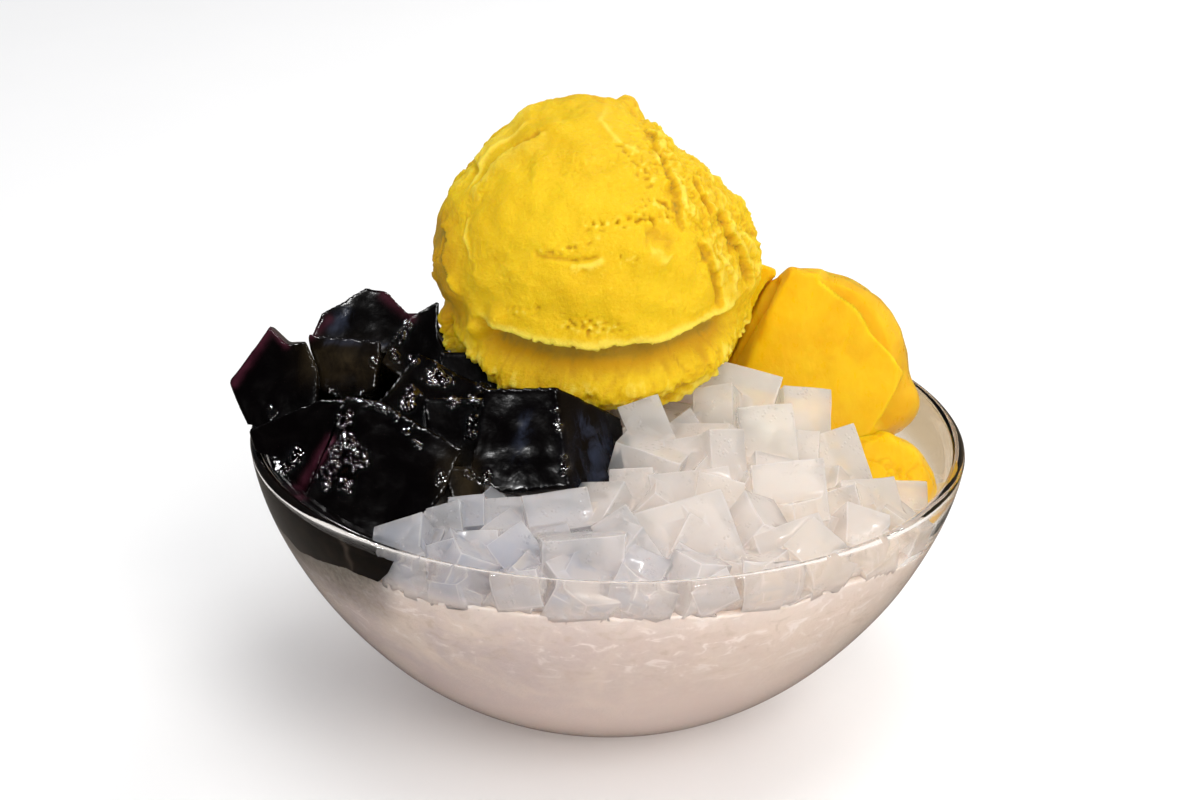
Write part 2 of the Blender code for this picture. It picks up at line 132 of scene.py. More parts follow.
def lattice_gradients(corner, seed):
    """A repeatable random vector, each part from -1 to 1, for each whole-numbered corner."""
    x, y, z = corner[..., 0], corner[..., 1], corner[..., 2]
    mask = np.int64(0xFFFFFFFF)
    out = []
    for turn in range(3):
        h = (x * 374761393 + y * 668265263 + z * 1440662683 + (seed * 3 + turn + 1) * 1274126177) & mask
        h = ((h ^ (h >> 13)) * 1103515245) & mask
        h = ((h ^ (h >> 15)) * 668265263) & mask
        out.append(((h ^ (h >> 16)) & 0xFFFF) / 32767.5 - 1.0)
    return np.stack(out, -1)


def ripple(points, size, seed=0):
    """Smooth noise, about -1 to 1, whose lumps are as large as size."""
    q = np.asarray(points, float) / size
    base = np.floor(q).astype(np.int64)
    f = q - base
    s = f * f * f * (f * (f * 6 - 15) + 10)
    total = np.zeros(len(q))
    for corner in np.ndindex(2, 2, 2):
        step = np.array(corner)
        value = ((f - step) * lattice_gradients(base + step, seed)).sum(-1)
        total += np.prod(np.where(step == 1, s, 1 - s), axis=-1) * value
    return total * 1.3


def layered(points, size, octaves, seed=0, fall=0.5):
    total = np.zeros(len(points))
    strength = 1.0
    for octave in range(octaves):
        total += strength * ripple(points, size / 2**octave, seed + 17 * octave)
        strength *= fall
    return total


def perlin(points, scale):
    """The same noise as the solids use."""
    return np.array([noise.noise(Vector(p) * scale) for p in points])


# ---------------------------------------------------------------- directions and the photograph's camera


def direction(azimuth, elevation):
    """Unit vector: azimuth 0 looks at the viewer (-Y), 90 to the right (+X); both in degrees."""
    turn, lift = math.radians(azimuth), math.radians(elevation)
    return Vector((math.sin(turn) * math.cos(lift), -math.cos(turn) * math.cos(lift), math.sin(lift)))


def facing_matrix(centre, azimuth, elevation, roll=0.0):
    front = direction(azimuth, elevation)
    level = direction(azimuth + 90, 0)
    rotation = Matrix((level, front.cross(level), front)).transposed().to_4x4()
    return Matrix.Translation(Vector(centre)) @ rotation @ Matrix.Rotation(math.radians(roll), 4, "Z")


def view_axes():
    """The photograph's right, up and into-the-picture directions."""
    into = Vector((0, math.cos(CAMERA_ELEVATION), -math.sin(CAMERA_ELEVATION)))
    up = Vector((0, math.sin(CAMERA_ELEVATION), math.cos(CAMERA_ELEVATION)))
    right = Vector((1, 0, 0))
    tilted_right = right * math.cos(CAMERA_ROLL) + up * math.sin(CAMERA_ROLL)
    tilted_up = up * math.cos(CAMERA_ROLL) - right * math.sin(CAMERA_ROLL)
    return tilted_right, tilted_up, into


VIEW_RIGHT, VIEW_UP, VIEW_INTO = view_axes()
VIEW_POINT = CAMERA_TARGET - VIEW_INTO * CAMERA_DISTANCE
ALONG_VIEW = np.array((VIEW_RIGHT, VIEW_UP, VIEW_INTO))


def make_camera():
    data = bpy.data.cameras.new("photo_view")
    data.sensor_width = SENSOR_WIDTH
    data.lens = LENS
    data.shift_x = -(RIM_PIXEL[0] - PHOTO_WIDTH / 2) / PHOTO_WIDTH
    data.shift_y = (RIM_PIXEL[1] - PHOTO_HEIGHT / 2) / PHOTO_WIDTH
    data.clip_start = 0.01
    camera = new_object("photo_view", data)
    turn = Matrix((VIEW_RIGHT, VIEW_UP, -VIEW_INTO)).transposed().to_4x4()
    camera.matrix_world = Matrix.Translation(VIEW_POINT) @ turn
    bpy.context.scene.camera = camera


def facing_camera(ways):
    """1 for a way that points out of the photograph, -1 for one that points into it."""
    return -(ways @ ALONG_VIEW[2])


def photo_place(points):
    """Millimetres right and up of the rim's centre, in its plane, where the photograph shows each point."""
    offset = np.asarray(points, float) - np.array(VIEW_POINT)
    right, up, into = (offset @ way for way in ALONG_VIEW)
    reach = CAMERA_DISTANCE / into / MM
    return np.stack((right * reach, up * reach), -1)


# ---------------------------------------------------------------- meshes

DOUBLES_WITHIN = 1e-6


def new_object(name, data):
    thing = bpy.data.objects.new(name, data)
    bpy.context.scene.collection.objects.link(thing)
    return thing


def mesh_object(name, points, faces, smooth_faces=True):
    """An object from points and faces; a quad that has closed up loses its doubled corners."""
    faces = faces.tolist() if isinstance(faces, np.ndarray) else faces
    clean = [tuple(dict.fromkeys(face)) for face in faces]
    mesh = bpy.data.meshes.new(name)
    mesh.from_pydata(np.asarray(points).tolist(), [], [face for face in clean if len(face) > 2])
    if smooth_faces:
        mesh.shade_smooth()
    return new_object(name, mesh)


def values_of(thing, key):
    flat = np.empty(len(thing.data.vertices) * 3)
    thing.data.vertices.foreach_get(key, flat)
    return flat.reshape(-1, 3)


def points_of(thing):
    return values_of(thing, "co")


def normals_of(thing):
    return values_of(thing, "normal")


def move_points(thing, points):
    thing.data.vertices.foreach_set("co", np.asarray(points, float).ravel())
    thing.data.update()


def set_values(thing, name, values):
    attribute = thing.data.attributes.new(name, "FLOAT", "POINT")
    attribute.data.foreach_set("value", np.asarray(values, np.float32))


def weld(points, faces):
    key = np.round(points / DOUBLES_WITHIN).astype(np.int64)
    _, first, index = np.unique(key, axis=0, return_index=True, return_inverse=True)
    return points[first], index.reshape(-1)[faces]


def grid_ball(cells):
    """Unit vectors and quads of a cube's six gridded faces, blown up to a ball."""
    return grid_box(np.tan(np.linspace(-1, 1, cells + 1) * math.pi / 4))[:2]


def grid_box(steps):
    """Six gridded sides of the cube from -1 to 1, welded: unit vectors, quads, and the points on the cube."""
    a, b = np.meshgrid(steps, steps, indexing="ij")
    one = np.ones_like(a)
    sides = ((one, a, b), (-one, b, a), (b, one, a), (a, -one, b), (a, b, one), (b, a, -one))
    count = len(steps)
    corner = (np.arange(count - 1)[:, None] * count + np.arange(count - 1)).ravel()
    quad = np.stack((corner, corner + count, corner + count + 1, corner + 1), -1)
    points = np.concatenate([np.stack(side, -1).reshape(-1, 3) for side in sides])
    faces = np.concatenate([quad + side * count * count for side in range(6)])
    points, faces = weld(points, faces)
    return unit(points), faces, points


def woven(rows, columns, rows_close=False, columns_close=True):
    """Quads between the points of a grid, given row by row, that may close on itself either way."""
    row = np.arange(rows if rows_close else rows - 1)[:, None]
    column = np.arange(columns if columns_close else columns - 1)
    here, beside = row * columns + column, row * columns + (column + 1) % columns
    ahead = ((row + 1) % rows - row) * columns
    return np.stack((here, beside, beside + ahead, here + ahead), -1).reshape(-1, 4)


def turned_object(name, profile, sides):
    """A profile of (radius, height) turned round Z; the ends on the axis are closed."""
    profile = np.asarray(profile, float)
    turn = np.linspace(0, 2 * math.pi, sides, endpoint=False)
    radius, height = profile[:, :1], profile[:, 1:]
    points = np.stack((radius * np.cos(turn), radius * np.sin(turn), np.repeat(height, sides, 1)), -1)
    return mesh_object(name, *weld(points.reshape(-1, 3), woven(len(profile), sides)))


def apply_modifiers(thing):
    bpy.context.view_layer.update()
    graph = bpy.context.evaluated_depsgraph_get()
    mesh = bpy.data.meshes.new_from_object(thing.evaluated_get(graph))
    thing.modifiers.clear()
    thing.data = mesh
    mesh.name = thing.name
    mesh.materials.clear()
    mesh.shade_smooth()


def refined(thing, voxel, rounds):
    """Meshes a thing finely anew and rounds its edges a little."""
    fine = thing.modifiers.new("fine", "REMESH")
    fine.mode = "VOXEL"
    fine.voxel_size = voxel
    thing.modifiers.new("round_off", "SMOOTH").iterations = rounds
    apply_modifiers(thing)
    return thing


def remeshed(node, name, voxel, rounds):
    """A fine copy of a CAD node."""
    thing = new_object(name, frame["nodes"][node].data.copy())
    bm = bmesh.new()
    bm.from_mesh(thing.data)
    bmesh.ops.remove_doubles(bm, verts=bm.verts, dist=DOUBLES_WITHIN)
    bm.to_mesh(thing.data)
    bm.free()
    return refined(thing, voxel, rounds)


# ---------------------------------------------------------------- materials


class Nodes:
    """Short ways to make the nodes of a tree."""

    def __init__(self, tree, place):
        self.tree = tree
        self.place = self.node("TexCoord", place)

    def link(self, source, target):
        if isinstance(source, (int, float)):
            target.default_value = source
        elif isinstance(source, tuple):
            target.default_value = (*source, 1.0)[: len(target.default_value)]
        else:
            self.tree.links.new(source, target)

    def node(self, kind, output, inputs=(), **settings):
        """The output of a new node, which has these settings and inputs."""
        made = self.tree.nodes.new("ShaderNode" + kind)
        for key, value in settings.items():
            setattr(made, key, value)
        for key, value in dict(inputs).items():
            self.link(value, made.inputs[key])
        return made.outputs[output]

    def noise(self, size, detail=2.0, roughness=0.5, distortion=0.0, stretch=None):
        """Noise with lumps of a size in mm, 0 to 1."""
        place = self.place
        if stretch:
            place = self.node("Mapping", "Vector", {"Vector": place, "Scale": stretch})
        shape = {"Scale": 1 / (size * MM), "Detail": detail, "Roughness": roughness, "Distortion": distortion}
        return self.node("TexNoise", "Fac", {"Vector": place, **shape})

    def cells(self, size):
        """Distance to the middle of the nearest of many cells, in sizes."""
        return self.node("TexVoronoi", "Distance", {"Vector": self.place, "Scale": 1 / (size * MM)})

    def beads(self, size):
        """Round beads, 1 at their tops and 0 between them."""
        gap = self.cells(size)
        return self.span(self.times(gap, gap), 0.0, 0.17, 1.0, 0.0, soft=False)

    def value(self, name):
        return self.node("Attribute", "Fac", attribute_name=name)

    def span(self, value, low, high, to_low=0.0, to_high=1.0, soft=True):
        """A value from low to high turned into one from to_low to to_high."""
        ends = {"From Min": low, "From Max": high, "To Min": to_low, "To Max": to_high}
        kind = "SMOOTHSTEP" if soft else "LINEAR"
        return self.node("MapRange", "Result", {"Value": value, **ends}, interpolation_type=kind)

    def across(self, axis):
        return self.node("SeparateXYZ", axis, {0: self.place})

    def across_span(self, axis, low, high, to_low=0.0, to_high=1.0):
        """A span of the place along an axis, with both ends in mm."""
        return self.span(self.across(axis), low * MM, high * MM, to_low, to_high)

    def math(self, operation, first, second, clamp=False):
        return self.node("Math", "Value", {0: first, 1: second}, operation=operation, use_clamp=clamp)

    def times(self, first, second):
        return self.math("MULTIPLY", first, second)

    def mix(self, share, first, second):
        """The first colour where the share is 0, and the second where it is 1."""
        return self.node("Mix", 2, {"Factor": share, 6: first, 7: second}, data_type="RGBA")

    def layers(self, base, *coats):
        """A colour with others laid over it, each given as its share and the colour."""
        for share, colour in coats:
            base = self.mix(share, base, colour)
        return base

    def bump(self, height, distance, strength=1.0, after=None):
        """The normal for a height from 0 to 1, which stands for a distance in mm."""
        inputs = {"Height": height, "Distance": distance * MM, "Strength": strength}
        return self.node("Bump", "Normal", {**inputs, "Normal": after} if after else inputs)

    def mirrored(self):
        """1 for what a reflection meets, 0 for what is seen plainly, through glass or by soft light."""
        glossy, through = (self.node("LightPath", f"Is {kind} Ray") for kind in ("Glossy", "Transmission"))
        return self.math("SUBTRACT", glossy, through, clamp=True)


class Look(Nodes):
    """A material with its main shader."""

    def __init__(self, name):
        self.material = bpy.data.materials.new(name)
        self.material.use_nodes = True
        self.shader = self.material.node_tree.nodes["Principled BSDF"]
        super().__init__(self.material.node_tree, "Object")

    def set(self, **inputs):
        for name, value in inputs.items():
            self.link(value, self.shader.inputs[name.replace("_", " ")])


def dress(piece, look, slot, *nodes):
    """Gives a piece its material and body, and hides the nodes that it stands for, if any; the slot is not
    used.
    """
    piece.data.materials.append(look.material)
    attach(piece, "root")
    if nodes:
        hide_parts(*nodes)


# ---------------------------------------------------------------- glass bowl


def outer_radius(height):
    share = ramp(np.asarray(height, float), 0.0, BOWL_HEIGHT)
    rise = (1 - (1 - share) ** BOWL_RISE) ** (1 / BOWL_BULGE)
    return FOOT_RADIUS + (RIM_RADIUS - FOOT_RADIUS) * rise


def inner_radius(height):
    share = (np.asarray(height, float) - BASE_THICKNESS) / (BOWL_HEIGHT - BASE_THICKNESS)
    return outer_radius(share * BOWL_HEIGHT) - WALL


def make_bowl():
    top = BOWL_HEIGHT - WALL / 2
    along = np.linspace(0, 1, 60) ** 1.6
    inside, outside = BASE_THICKNESS + (top - BASE_THICKNESS) * along, top * along
    band_in = LIP_PROUD * smooth(inside, top - LIP_BAND - 0.5 * MM, top - LIP_BAND + 0.1 * MM)
    inner = list(zip(inner_radius(inside) - band_in, inside))
    outer = list(zip(outer_radius(outside), outside))
    lip_inner, lip_outer = inner[-1][0], outer[-1][0]
    middle, half = (lip_inner + lip_outer) / 2, (lip_outer - lip_inner) / 2
    turns = np.linspace(math.pi, 0, 12)[1:-1]
    lip = [(middle + half * math.cos(turn), top + WALL / 2 * math.sin(turn)) for turn in turns]
    profile = [(0, BASE_THICKNESS)] + inner + lip + outer[::-1] + [(0, 0)]
    bowl = turned_object("glass_bowl", profile[::-1], BOWL_SIDES)
    points = points_of(bowl)
    turn = unit(points * (1, 1, 0) + (0, 1e-9, 0))
    wave = 0.12 * MM * ripple(points * (1, 1, 1.8), 22 * MM, 5) * smooth(points[:, 2], 4 * MM, 12 * MM)
    move_points(bowl, points + turn * wave[:, None])
    dress(bowl, glass_look(), "clear_glass", "bowl")


def glass_look():
    look = Look("clear_glass")
    scuffs = look.span(look.noise(0.6, 4, 0.7), 0.45, 0.75, 0.0, 0.06)
    # painted reflection: a brown tint at the rear right that stands in for the dark surroundings seen in the
    # glass
    painted_reflection = look.times(look.across_span("X", 20, 45), look.across_span("Y", -38, -16))
    painted_reflection = look.times(painted_reflection, look.across_span("Z", 42, 50))
    tint = look.mix(painted_reflection, (0.90, 0.86, 0.82), (0.50, 0.39, 0.25))
    look.set(Base_Color=tint, Roughness=look.math("ADD", scuffs, 0.01), IOR=1.30, Transmission_Weight=1.0)
    look.set(Normal=look.bump(look.noise(9, 3, 0.5), 0.10, 0.4))
    clear_to_lamps(look)
    return look


def clear_to_lamps(look, share=1.0):
    """Lets this share of the lamps' light through on to what lies behind."""
    shadow = look.times(look.node("LightPath", "Is Shadow Ray"), share)
    clear = look.node("BsdfTransparent", "BSDF", {"Color": (0.93, 0.92, 0.90)})
    both = look.node("MixShader", "Shader", {0: shadow, 1: look.shader.outputs["BSDF"], 2: clear})
    look.link(both, look.tree.nodes["Material Output"].inputs["Surface"])


# ---------------------------------------------------------------- coconut ice

# How far pieces reach into the wall
INTO_GLASS = 0.25 * MM
CUBES_INTO_GLASS = 0.35 * MM
BLOCKS_INTO_GLASS = 0.50 * MM
SKIN_INTO_GLASS = 0.70 * MM
OVER_LIP = BOWL_HEIGHT + 0.5 * MM  # from here up no wall is near


def contact_radius(height, into):
    """How far out a piece may reach: just into the glass, less by the lip, and freely above it."""
    below_lip = np.clip(height, BASE_THICKNESS, BOWL_HEIGHT - 1.2 * MM)
    band = BOWL_HEIGHT - LIP_BAND
    depth = into - (0.7 * MM + into) * smooth(height, band - 1.5 * MM, band)
    return np.where(height > OVER_LIP, 1.0, inner_radius(below_lip) + depth)


def radius_of(points):
    return np.linalg.norm(points[:, :2], axis=1)


def with_radius(points, wanted):
    """Moves points straight out from the axis, or in, to where their radius is as wanted."""
    points[:, :2] *= (wanted / np.maximum(radius_of(points), 1e-9))[:, None]
    return points


def press_on_glass(points, within, into):
    """Draws out what comes this close to the wall, so that it meets the glass with no air between."""
    radius, limit = radius_of(points), contact_radius(points[:, 2], into)
    share = smooth(radius, limit - within, limit - 0.6 * within)
    share *= points[:, 2] < OVER_LIP
    return with_radius(points, np.minimum(radius + (limit - radius) * share, limit))


# Lower edge of the black jelly at the glass: azimuth in degrees, height in mm
DARK_EDGE = ((-125, 44.5), (-95, 46.5), (-77, 48.0), (-70, 47.0), (-60, 46.5), (-50, 48.5), (-44, 50.0),
             (-37, 49.8), (-34.5, 53.0), (-32.5, 57.3))


def level_ways(azimuth):
    """Level unit vectors to azimuths in degrees."""
    turn = np.radians(azimuth)
    return np.stack((np.sin(turn), -np.cos(turn), np.zeros(len(turn))), -1)


def dark_floor(azimuth):
    turns, heights = zip(*DARK_EDGE)
    return (np.interp(azimuth, turns, heights) + 0.8 * layered(level_ways(azimuth) * 75, 9, 2, 15)) * MM


def azimuth_of(points):
    return np.degrees(np.arctan2(points[:, 0], -points[:, 1]))


def ice_wall_level(azimuth):
    """Height of the slush at the glass: higher in front and under the black jelly, lower behind."""
    in_front = smooth(np.cos(np.radians(azimuth - 12)), 0.35, 0.95)
    level = ICE_WALL_LEVEL + ICE_FRONT_RISE * in_front
    beside = np.where(azimuth > 180, azimuth - 360, azimuth)
    under_dark = np.minimum(dark_floor(beside) + 0.5 * MM, ICE_DARK_LEVEL)
    return np.where(beside < DARK_END, np.maximum(level, under_dark), level)


def ring(way, radius, height):
    return way * radius[:, None] + height[:, None] * (0, 0, 1)


def make_ice():
    """Milky slush that meets the glass without an air gap, rough on top."""
    sides, walls, tops = BOWL_SIDES, 90, 70
    azimuth = np.linspace(-90, 270, sides, endpoint=False)
    way = level_ways(azimuth)
    level = ice_wall_level(azimuth)
    rough = np.where((azimuth > DARK_END) & (azimuth < 230), 1.3, 0.1) * MM
    level += rough * layered(way * RIM_RADIUS, 11 * MM, 3, 3)
    rings = []
    low = BASE_THICKNESS - INTO_GLASS
    for share in np.linspace(0, 1, walls) ** 1.5:
        height = low + (level - low) * share
        rings.append(ring(way, inner_radius(height) + INTO_GLASS, height))
    edge = inner_radius(level) + INTO_GLASS
    for share in np.linspace(0, 1, tops)[1:]:
        radius = edge * (1 - share)
        height = level + (ICE_TOP - level) * smooth(edge - radius, 0, edge - ICE_FLAT_RADIUS)
        rough = 1.3 * MM * layered(way * radius[:, None], 9 * MM, 3, 13)
        rings.append(ring(way, radius, height + rough * smooth(edge - radius, 0, 4 * MM)))
    points = np.concatenate([np.tile((0, 0, low), (sides, 1))] + rings)
    points, faces = weld(points, woven(walls + tops, sides))
    ice = mesh_object("coconut_ice_slush", points, faces)
    turned_to = azimuth_of(points)
    # painted shade: darker just under the black jelly at the glass, fading over 14 mm below its edge
    below = dark_floor(turned_to) + layered(points, 12 * MM, 2, 17) * 2.5 * MM - points[:, 2]
    beside = (1 - smooth(turned_to, -40, -31)) * smooth(turned_to, -150, -110)
    set_values(ice, "murk", (1 - smooth(below, 0.0, 14 * MM)) * beside)
    dress(ice, ice_look(), "coconut_ice", "coconut_ice")


def ice_look():
    look = Look("coconut_ice")
    clouds = look.noise(16, 4, 0.6, 0.4)
    spots = look.noise(5, 4, 0.6, 0.8, stretch=(1, 1, 1.7))
    grain = look.noise(1.2, 4, 0.65)
    high = look.across_span("Z", 22, 46)
    dirty = look.times(look.span(spots, 0.54, 0.70), look.times(high, 0.6))
    pale = look.times(look.span(spots, 0.46, 0.32), look.times(high, 0.7))
    base = look.layers(
        # painted shade: darker and cooler to the left
        look.mix(look.across_span("X", -45, 55), (0.56, 0.48, 0.48), (0.68, 0.57, 0.50)),
        (look.span(clouds, 0.35, 0.7), (0.73, 0.63, 0.56)),
        (dirty, (0.52, 0.42, 0.34)),
        (pale, (0.88, 0.82, 0.80)),
        (look.across_span("Z", 43, 52, 0.0, 0.65), (0.66, 0.60, 0.58)),
        # painted light: paler towards the bottom
        (look.across_span("Z", 4, 38, 0.95, 0.0), (0.95, 0.81, 0.77)),
        # painted shade under the black jelly
        (look.times(look.value("murk"), 0.9), (0.095, 0.080, 0.055)),
        (look.span(grain, 0.3, 0.75, 0.0, 0.16), (0.85, 0.78, 0.72)),
    )
    look.set(Base_Color=base, Roughness=look.span(grain, 0.3, 0.7, 0.35, 0.6), IOR=1.33)
    look.set(Subsurface_Weight=0.6, Subsurface_Scale=0.004, Subsurface_Radius=(1.0, 0.8, 0.65))
    look.set(Normal=look.bump(grain, 0.25, 0.6))
    return look


# ---------------------------------------------------------------- coconut jelly

CUBE_SIDE = 9 * MM
CUBE_LENGTH = 13 * MM
# Cubes that the photograph shows: the outer face's middle in mm, its azimuth and elevation, the roll, and the
# size in mm
FRONT_CUBES = (
    ((-31, -62.5, 56.5), (-22, 15), 25, (8, 7, 7)),
    ((-31, -52, 60), (-25, 35), 28, (7, 8, 9)),
    ((-27, -51, 62), (-20, 45), 15, (8, 7, 9)),
    ((-20, -52, 62), (-10, 50), 12, (9, 8, 10)),
    ((-9, -52, 63), (5, 55), 10, (12, 8, 10)),
    ((-24, -62, 60), (-15, 30), 10, (8, 7, 8)),
    ((-17, -62, 60), (10, 35), 32, (8, 7, 8)),
    ((-4, -66, 60), (0, 25), 6, (17, 9, 9)),
    ((4, -60, 61), (-15, 35), 42, (8, 13, 9)),
    ((5, -44, 64), (-10, 40), 8, (8, 9, 9)),
    ((8, -28, 71), (-5, 30), 22, (8, 10, 9)),
    ((15, -33, 66), (-5, 32), 14, (17, 9, 12)),
    ((16, -58, 62), (10, 40), 12, (16, 13, 11)),
    ((17, -46, 64), (0, 45), 10, (15, 11, 11)),
    ((21, -20, 72), (-20, 38), 18, (9, 10, 10)),
    ((24, -36, 67), (30, 30), -10, (7, 13, 9)),
    ((27, -10, 73), (0, 50), -15, (15, 9, 12)),
    ((32, -29, 70), (0, 35), 7, (11, 13, 11)),
    ((36, -43, 64), (12, 38), 2, (14, 12, 11)),
    ((36, -57, 60), (20, 40), 12, (15, 8, 9)),
    ((41, -12, 68), (15, 35), -10, (10, 11, 11)),
    ((46, -26, 63), (25, 38), 7, (14, 13, 11)),
    ((53, -35, 59), (30, 40), -5, (12, 9, 9)),
    ((62, -22, 55), (20, 40), -10, (7, 6, 7)),
)
# Rows round the heap: radius, step, first and last azimuth
CUBE_ROWS = (
    (33 * MM, 20, -25, 42),
    (46 * MM, 15, -30, 58),
    (58 * MM, 12, -33, 52),
    (67 * MM, 10, -33, 50),
    (40 * MM, 18, 100, 215),
    (53 * MM, 14, 105, 205),
)


def heap_level(radius, azimuth):
    rise = 1 - ramp(radius, HEAP_TOP_RADIUS, RIM_RADIUS)
    share = 0.35 + 0.65 * ramp(azimuth, -10, 20)
    rim_level = HEAP_RIM_LEVEL - 9 * MM * ramp(azimuth, 60, 75)
    return rim_level + (HEAP_TOP - HEAP_RIM_LEVEL) * rise * share


CUBE_ROUNDING = 0.20 * MM
CUBE_EDGE = 0.93  # where a cube's rounded edges start, of its half side
CUBE_GRID = grid_box(np.array((-1.0, -0.97, -CUBE_EDGE, -0.5, 0.0, 0.5, CUBE_EDGE, 0.97, 1.0)))


def cube_mesh(place, size, chance):
    """One cube of jelly: rounded edges, sides not quite square or flat."""
    tint = cube_tint(place.translation, chance)
    _, faces, spots = CUBE_GRID  # the points run from -1 to 1
    half = np.asarray(size, float) / 2
    outward = spots * half
    edge_steps = np.sign(spots) * ramp(np.abs(spots), CUBE_EDGE, 1.0)
    core = np.sign(outward) * np.minimum(np.abs(outward), half - CUBE_ROUNDING)
    lean = np.where(np.abs(spots) >= 1 - 1e-9, np.sign(spots), edge_steps)
    points = core + CUBE_ROUNDING * unit(lean + 1e-12)
    edge = ramp((np.abs(spots) > 0.96).sum(-1), 1, 2)
    taper = np.array([chance.uniform(-0.10, 0.10) for _ in range(4)])
    share = points / half
    points = points * (1 + taper[0] * share[:, [2]]) + np.stack(
        (taper[1] * share[:, 1], taper[2] * share[:, 2], taper[3] * share[:, 0]), -1
    ) * half.min()
    shift = np.array([chance.uniform(-1, 1) for _ in range(3)])
    bow = np.stack([ripple(points + shift, 7 * MM, seed) for seed in (1, 2, 3)], -1) * 0.28 * MM
    points = points + bow
    points = points @ np.array(place)[:3, :3].T + np.array(place)[:3, 3]
    depth = 1.2 * MM + 1.2 * MM * ripple(points, 6 * MM, 19)
    sunk = points[:, 2] < ice_wall_level(azimuth_of(points)) - depth
    limit = contact_radius(points[:, 2], CUBES_INTO_GLASS) - np.where(sunk, 1.4, 0.0) * MM
    points = with_radius(points, np.minimum(radius_of(points), limit))
    values = {"edge": edge, "tint": np.full(len(points), tint)}
    return points, faces, values


def cube_tint(centre, chance):
    """0 is bluish and 1 warm: painted shade and light, bluer to the left and low in front, warmer to the right
    and up, with a random tone besides.
    """
    lean = 0.45 + 0.011 * (centre.x / MM) + 0.012 * (centre.z / MM - 63)
    return min(max(lean + chance.uniform(-0.22, 0.22), 0.0), 1.0)


def round_the_bowl(azimuth, last, step, chance, *spread):
    """Azimuths up to the last one, with a random share of a step between."""
    while azimuth < last:
        yield azimuth
        azimuth += step * chance.uniform(*spread)


def make_cubes():
    chance = random.Random(11)
    looks = random.Random(5)
    cubes = []
    for centre, facing, roll, size in FRONT_CUBES:
        place = facing_matrix(Vector(centre) * MM, *facing, roll)
        place = place @ Matrix.Translation((0, 0, -size[2] / 2 * MM))
        cubes.append(cube_mesh(place, Vector(size) * MM, looks))
    for radius, step, first, last in CUBE_ROWS:
        for azimuth in round_the_bowl(first, last, step, chance, 0.85, 1.15):
            centre = direction(azimuth, 0) * radius
            centre.z = heap_level(radius, azimuth) - chance.uniform(4.0, 5.5) * MM
            size = Vector((CUBE_SIDE, CUBE_SIDE, CUBE_LENGTH)) * chance.uniform(0.85, 1.1)
            turn, lift, roll = chance.uniform(0, 360), chance.uniform(10, 80), chance.uniform(0, 90)
            cubes.append(cube_mesh(facing_matrix(centre, turn, lift, roll), size, looks))
    cubes += wall_cubes(looks) + small_cubes(looks)
    heap = fused("coconut_jelly_cubes", make_heap_core(), cubes)
    dress(heap, jelly_look(), "coconut_jelly", "coconut_jelly")


def fused(name, thing, meshes):
    """One closed skin round a body and the cubes that reach into it, with each cube's own values."""
    cubes = bpy.data.collections.new("cubes_to_fuse")
    bpy.context.scene.collection.children.link(cubes)
    for index, (points, faces, _) in enumerate(meshes):
        cube = mesh_object(f"cube_{index}", points, faces)
        bpy.context.scene.collection.objects.unlink(cube)
        cubes.objects.link(cube)
    union = thing.modifiers.new("fuse", "BOOLEAN")
    union.operation = "UNION"
    union.operand_type = "COLLECTION"
    union.collection = cubes
    union.solver = "MANIFOLD"
    thing.name = name
    apply_modifiers(thing)
    for cube in list(cubes.objects):
        bpy.data.objects.remove(cube)
    bpy.data.collections.remove(cubes)
    copy_values(thing, meshes)
    return thing


CUBE_REACH = 1.6 * MM


def copy_values(thing, meshes):
    """Gives each point the values of the nearest point of the cubes, or plain ones far from any."""
    points = np.concatenate([mesh[0] for mesh in meshes])
    tree = kdtree.KDTree(len(points))
    for index, point in enumerate(points):
        tree.insert(point, index)
    tree.balance()
    found = [tree.find(point) for point in points_of(thing)]
    nearest = np.array([index for _, index, _ in found])
    close = np.array([distance for _, _, distance in found]) < CUBE_REACH
    for key, plain in (("edge", 0.0), ("tint", 0.5)):
        values = np.concatenate([mesh[2][key] for mesh in meshes])[nearest]
        set_values(thing, key, np.where(close, values, plain))
    # painted shade and light: the cubes low in front get darker colours and those higher up paler ones
    places = photo_place(points_of(thing))
    low, high = -34, 12  # mm up the photograph, between the bluish cubes in front and the pale ones
    set_values(thing, "high", ramp(places[:, 1] + 0.10 * places[:, 0], low, high))


def wall_cubes(chance):
    """Cubes that rest against the glass, half sunk in the slush, where the front wall shows them."""
    found = []
    for level, step, first, last in ((53 * MM, 10.5, -35, 62), (48.5 * MM, 17.0, -28, 58)):
        for azimuth in round_the_bowl(first + chance.uniform(0, 5), last, step, chance, 0.85, 1.2):
            size = Vector((10, 8, 11)) * MM * chance.uniform(0.8, 1.15)
            centre = direction(azimuth, 0) * (float(inner_radius(level)) - size.y * 0.50)
            centre.z = level + chance.uniform(-1.5, 1.5) * MM
            turn, lift = azimuth + chance.uniform(-25, 25), chance.uniform(-30, 20)
            place = facing_matrix(centre, turn, lift, chance.uniform(-45, 45))
            found.append(cube_mesh(place, size, chance))
    return found


def small_cubes(chance):
    """Cubes and broken bits sunk between the larger ones, so that no core shows."""
    found = []
    for radius in np.arange(26, 70, 7.0) * MM:
        for first, last in ((-38, 66), (92, 222)):
            step = math.degrees(7.5 * MM / radius)
            for azimuth in round_the_bowl(first + chance.uniform(0, 6), last, step, chance, 0.9, 1.2):
                centre = direction(azimuth, 0) * radius
                if centre.x <= HEAP_LEFT_EDGE + 4 * MM or radius >= 66 * MM:
                    continue
                centre.z = float(heap_level(radius, azimuth)) - chance.uniform(6.0, 7.5) * MM
                side = chance.uniform(6, 8.5) * MM
                size = Vector((side, side * chance.uniform(0.8, 1.0), side * chance.uniform(1, 1.4)))
                turn, lift, roll = chance.uniform(0, 360), chance.uniform(0, 70), chance.uniform(0, 90)
                found.append(cube_mesh(facing_matrix(centre, turn, lift, roll), size, chance))
    return found


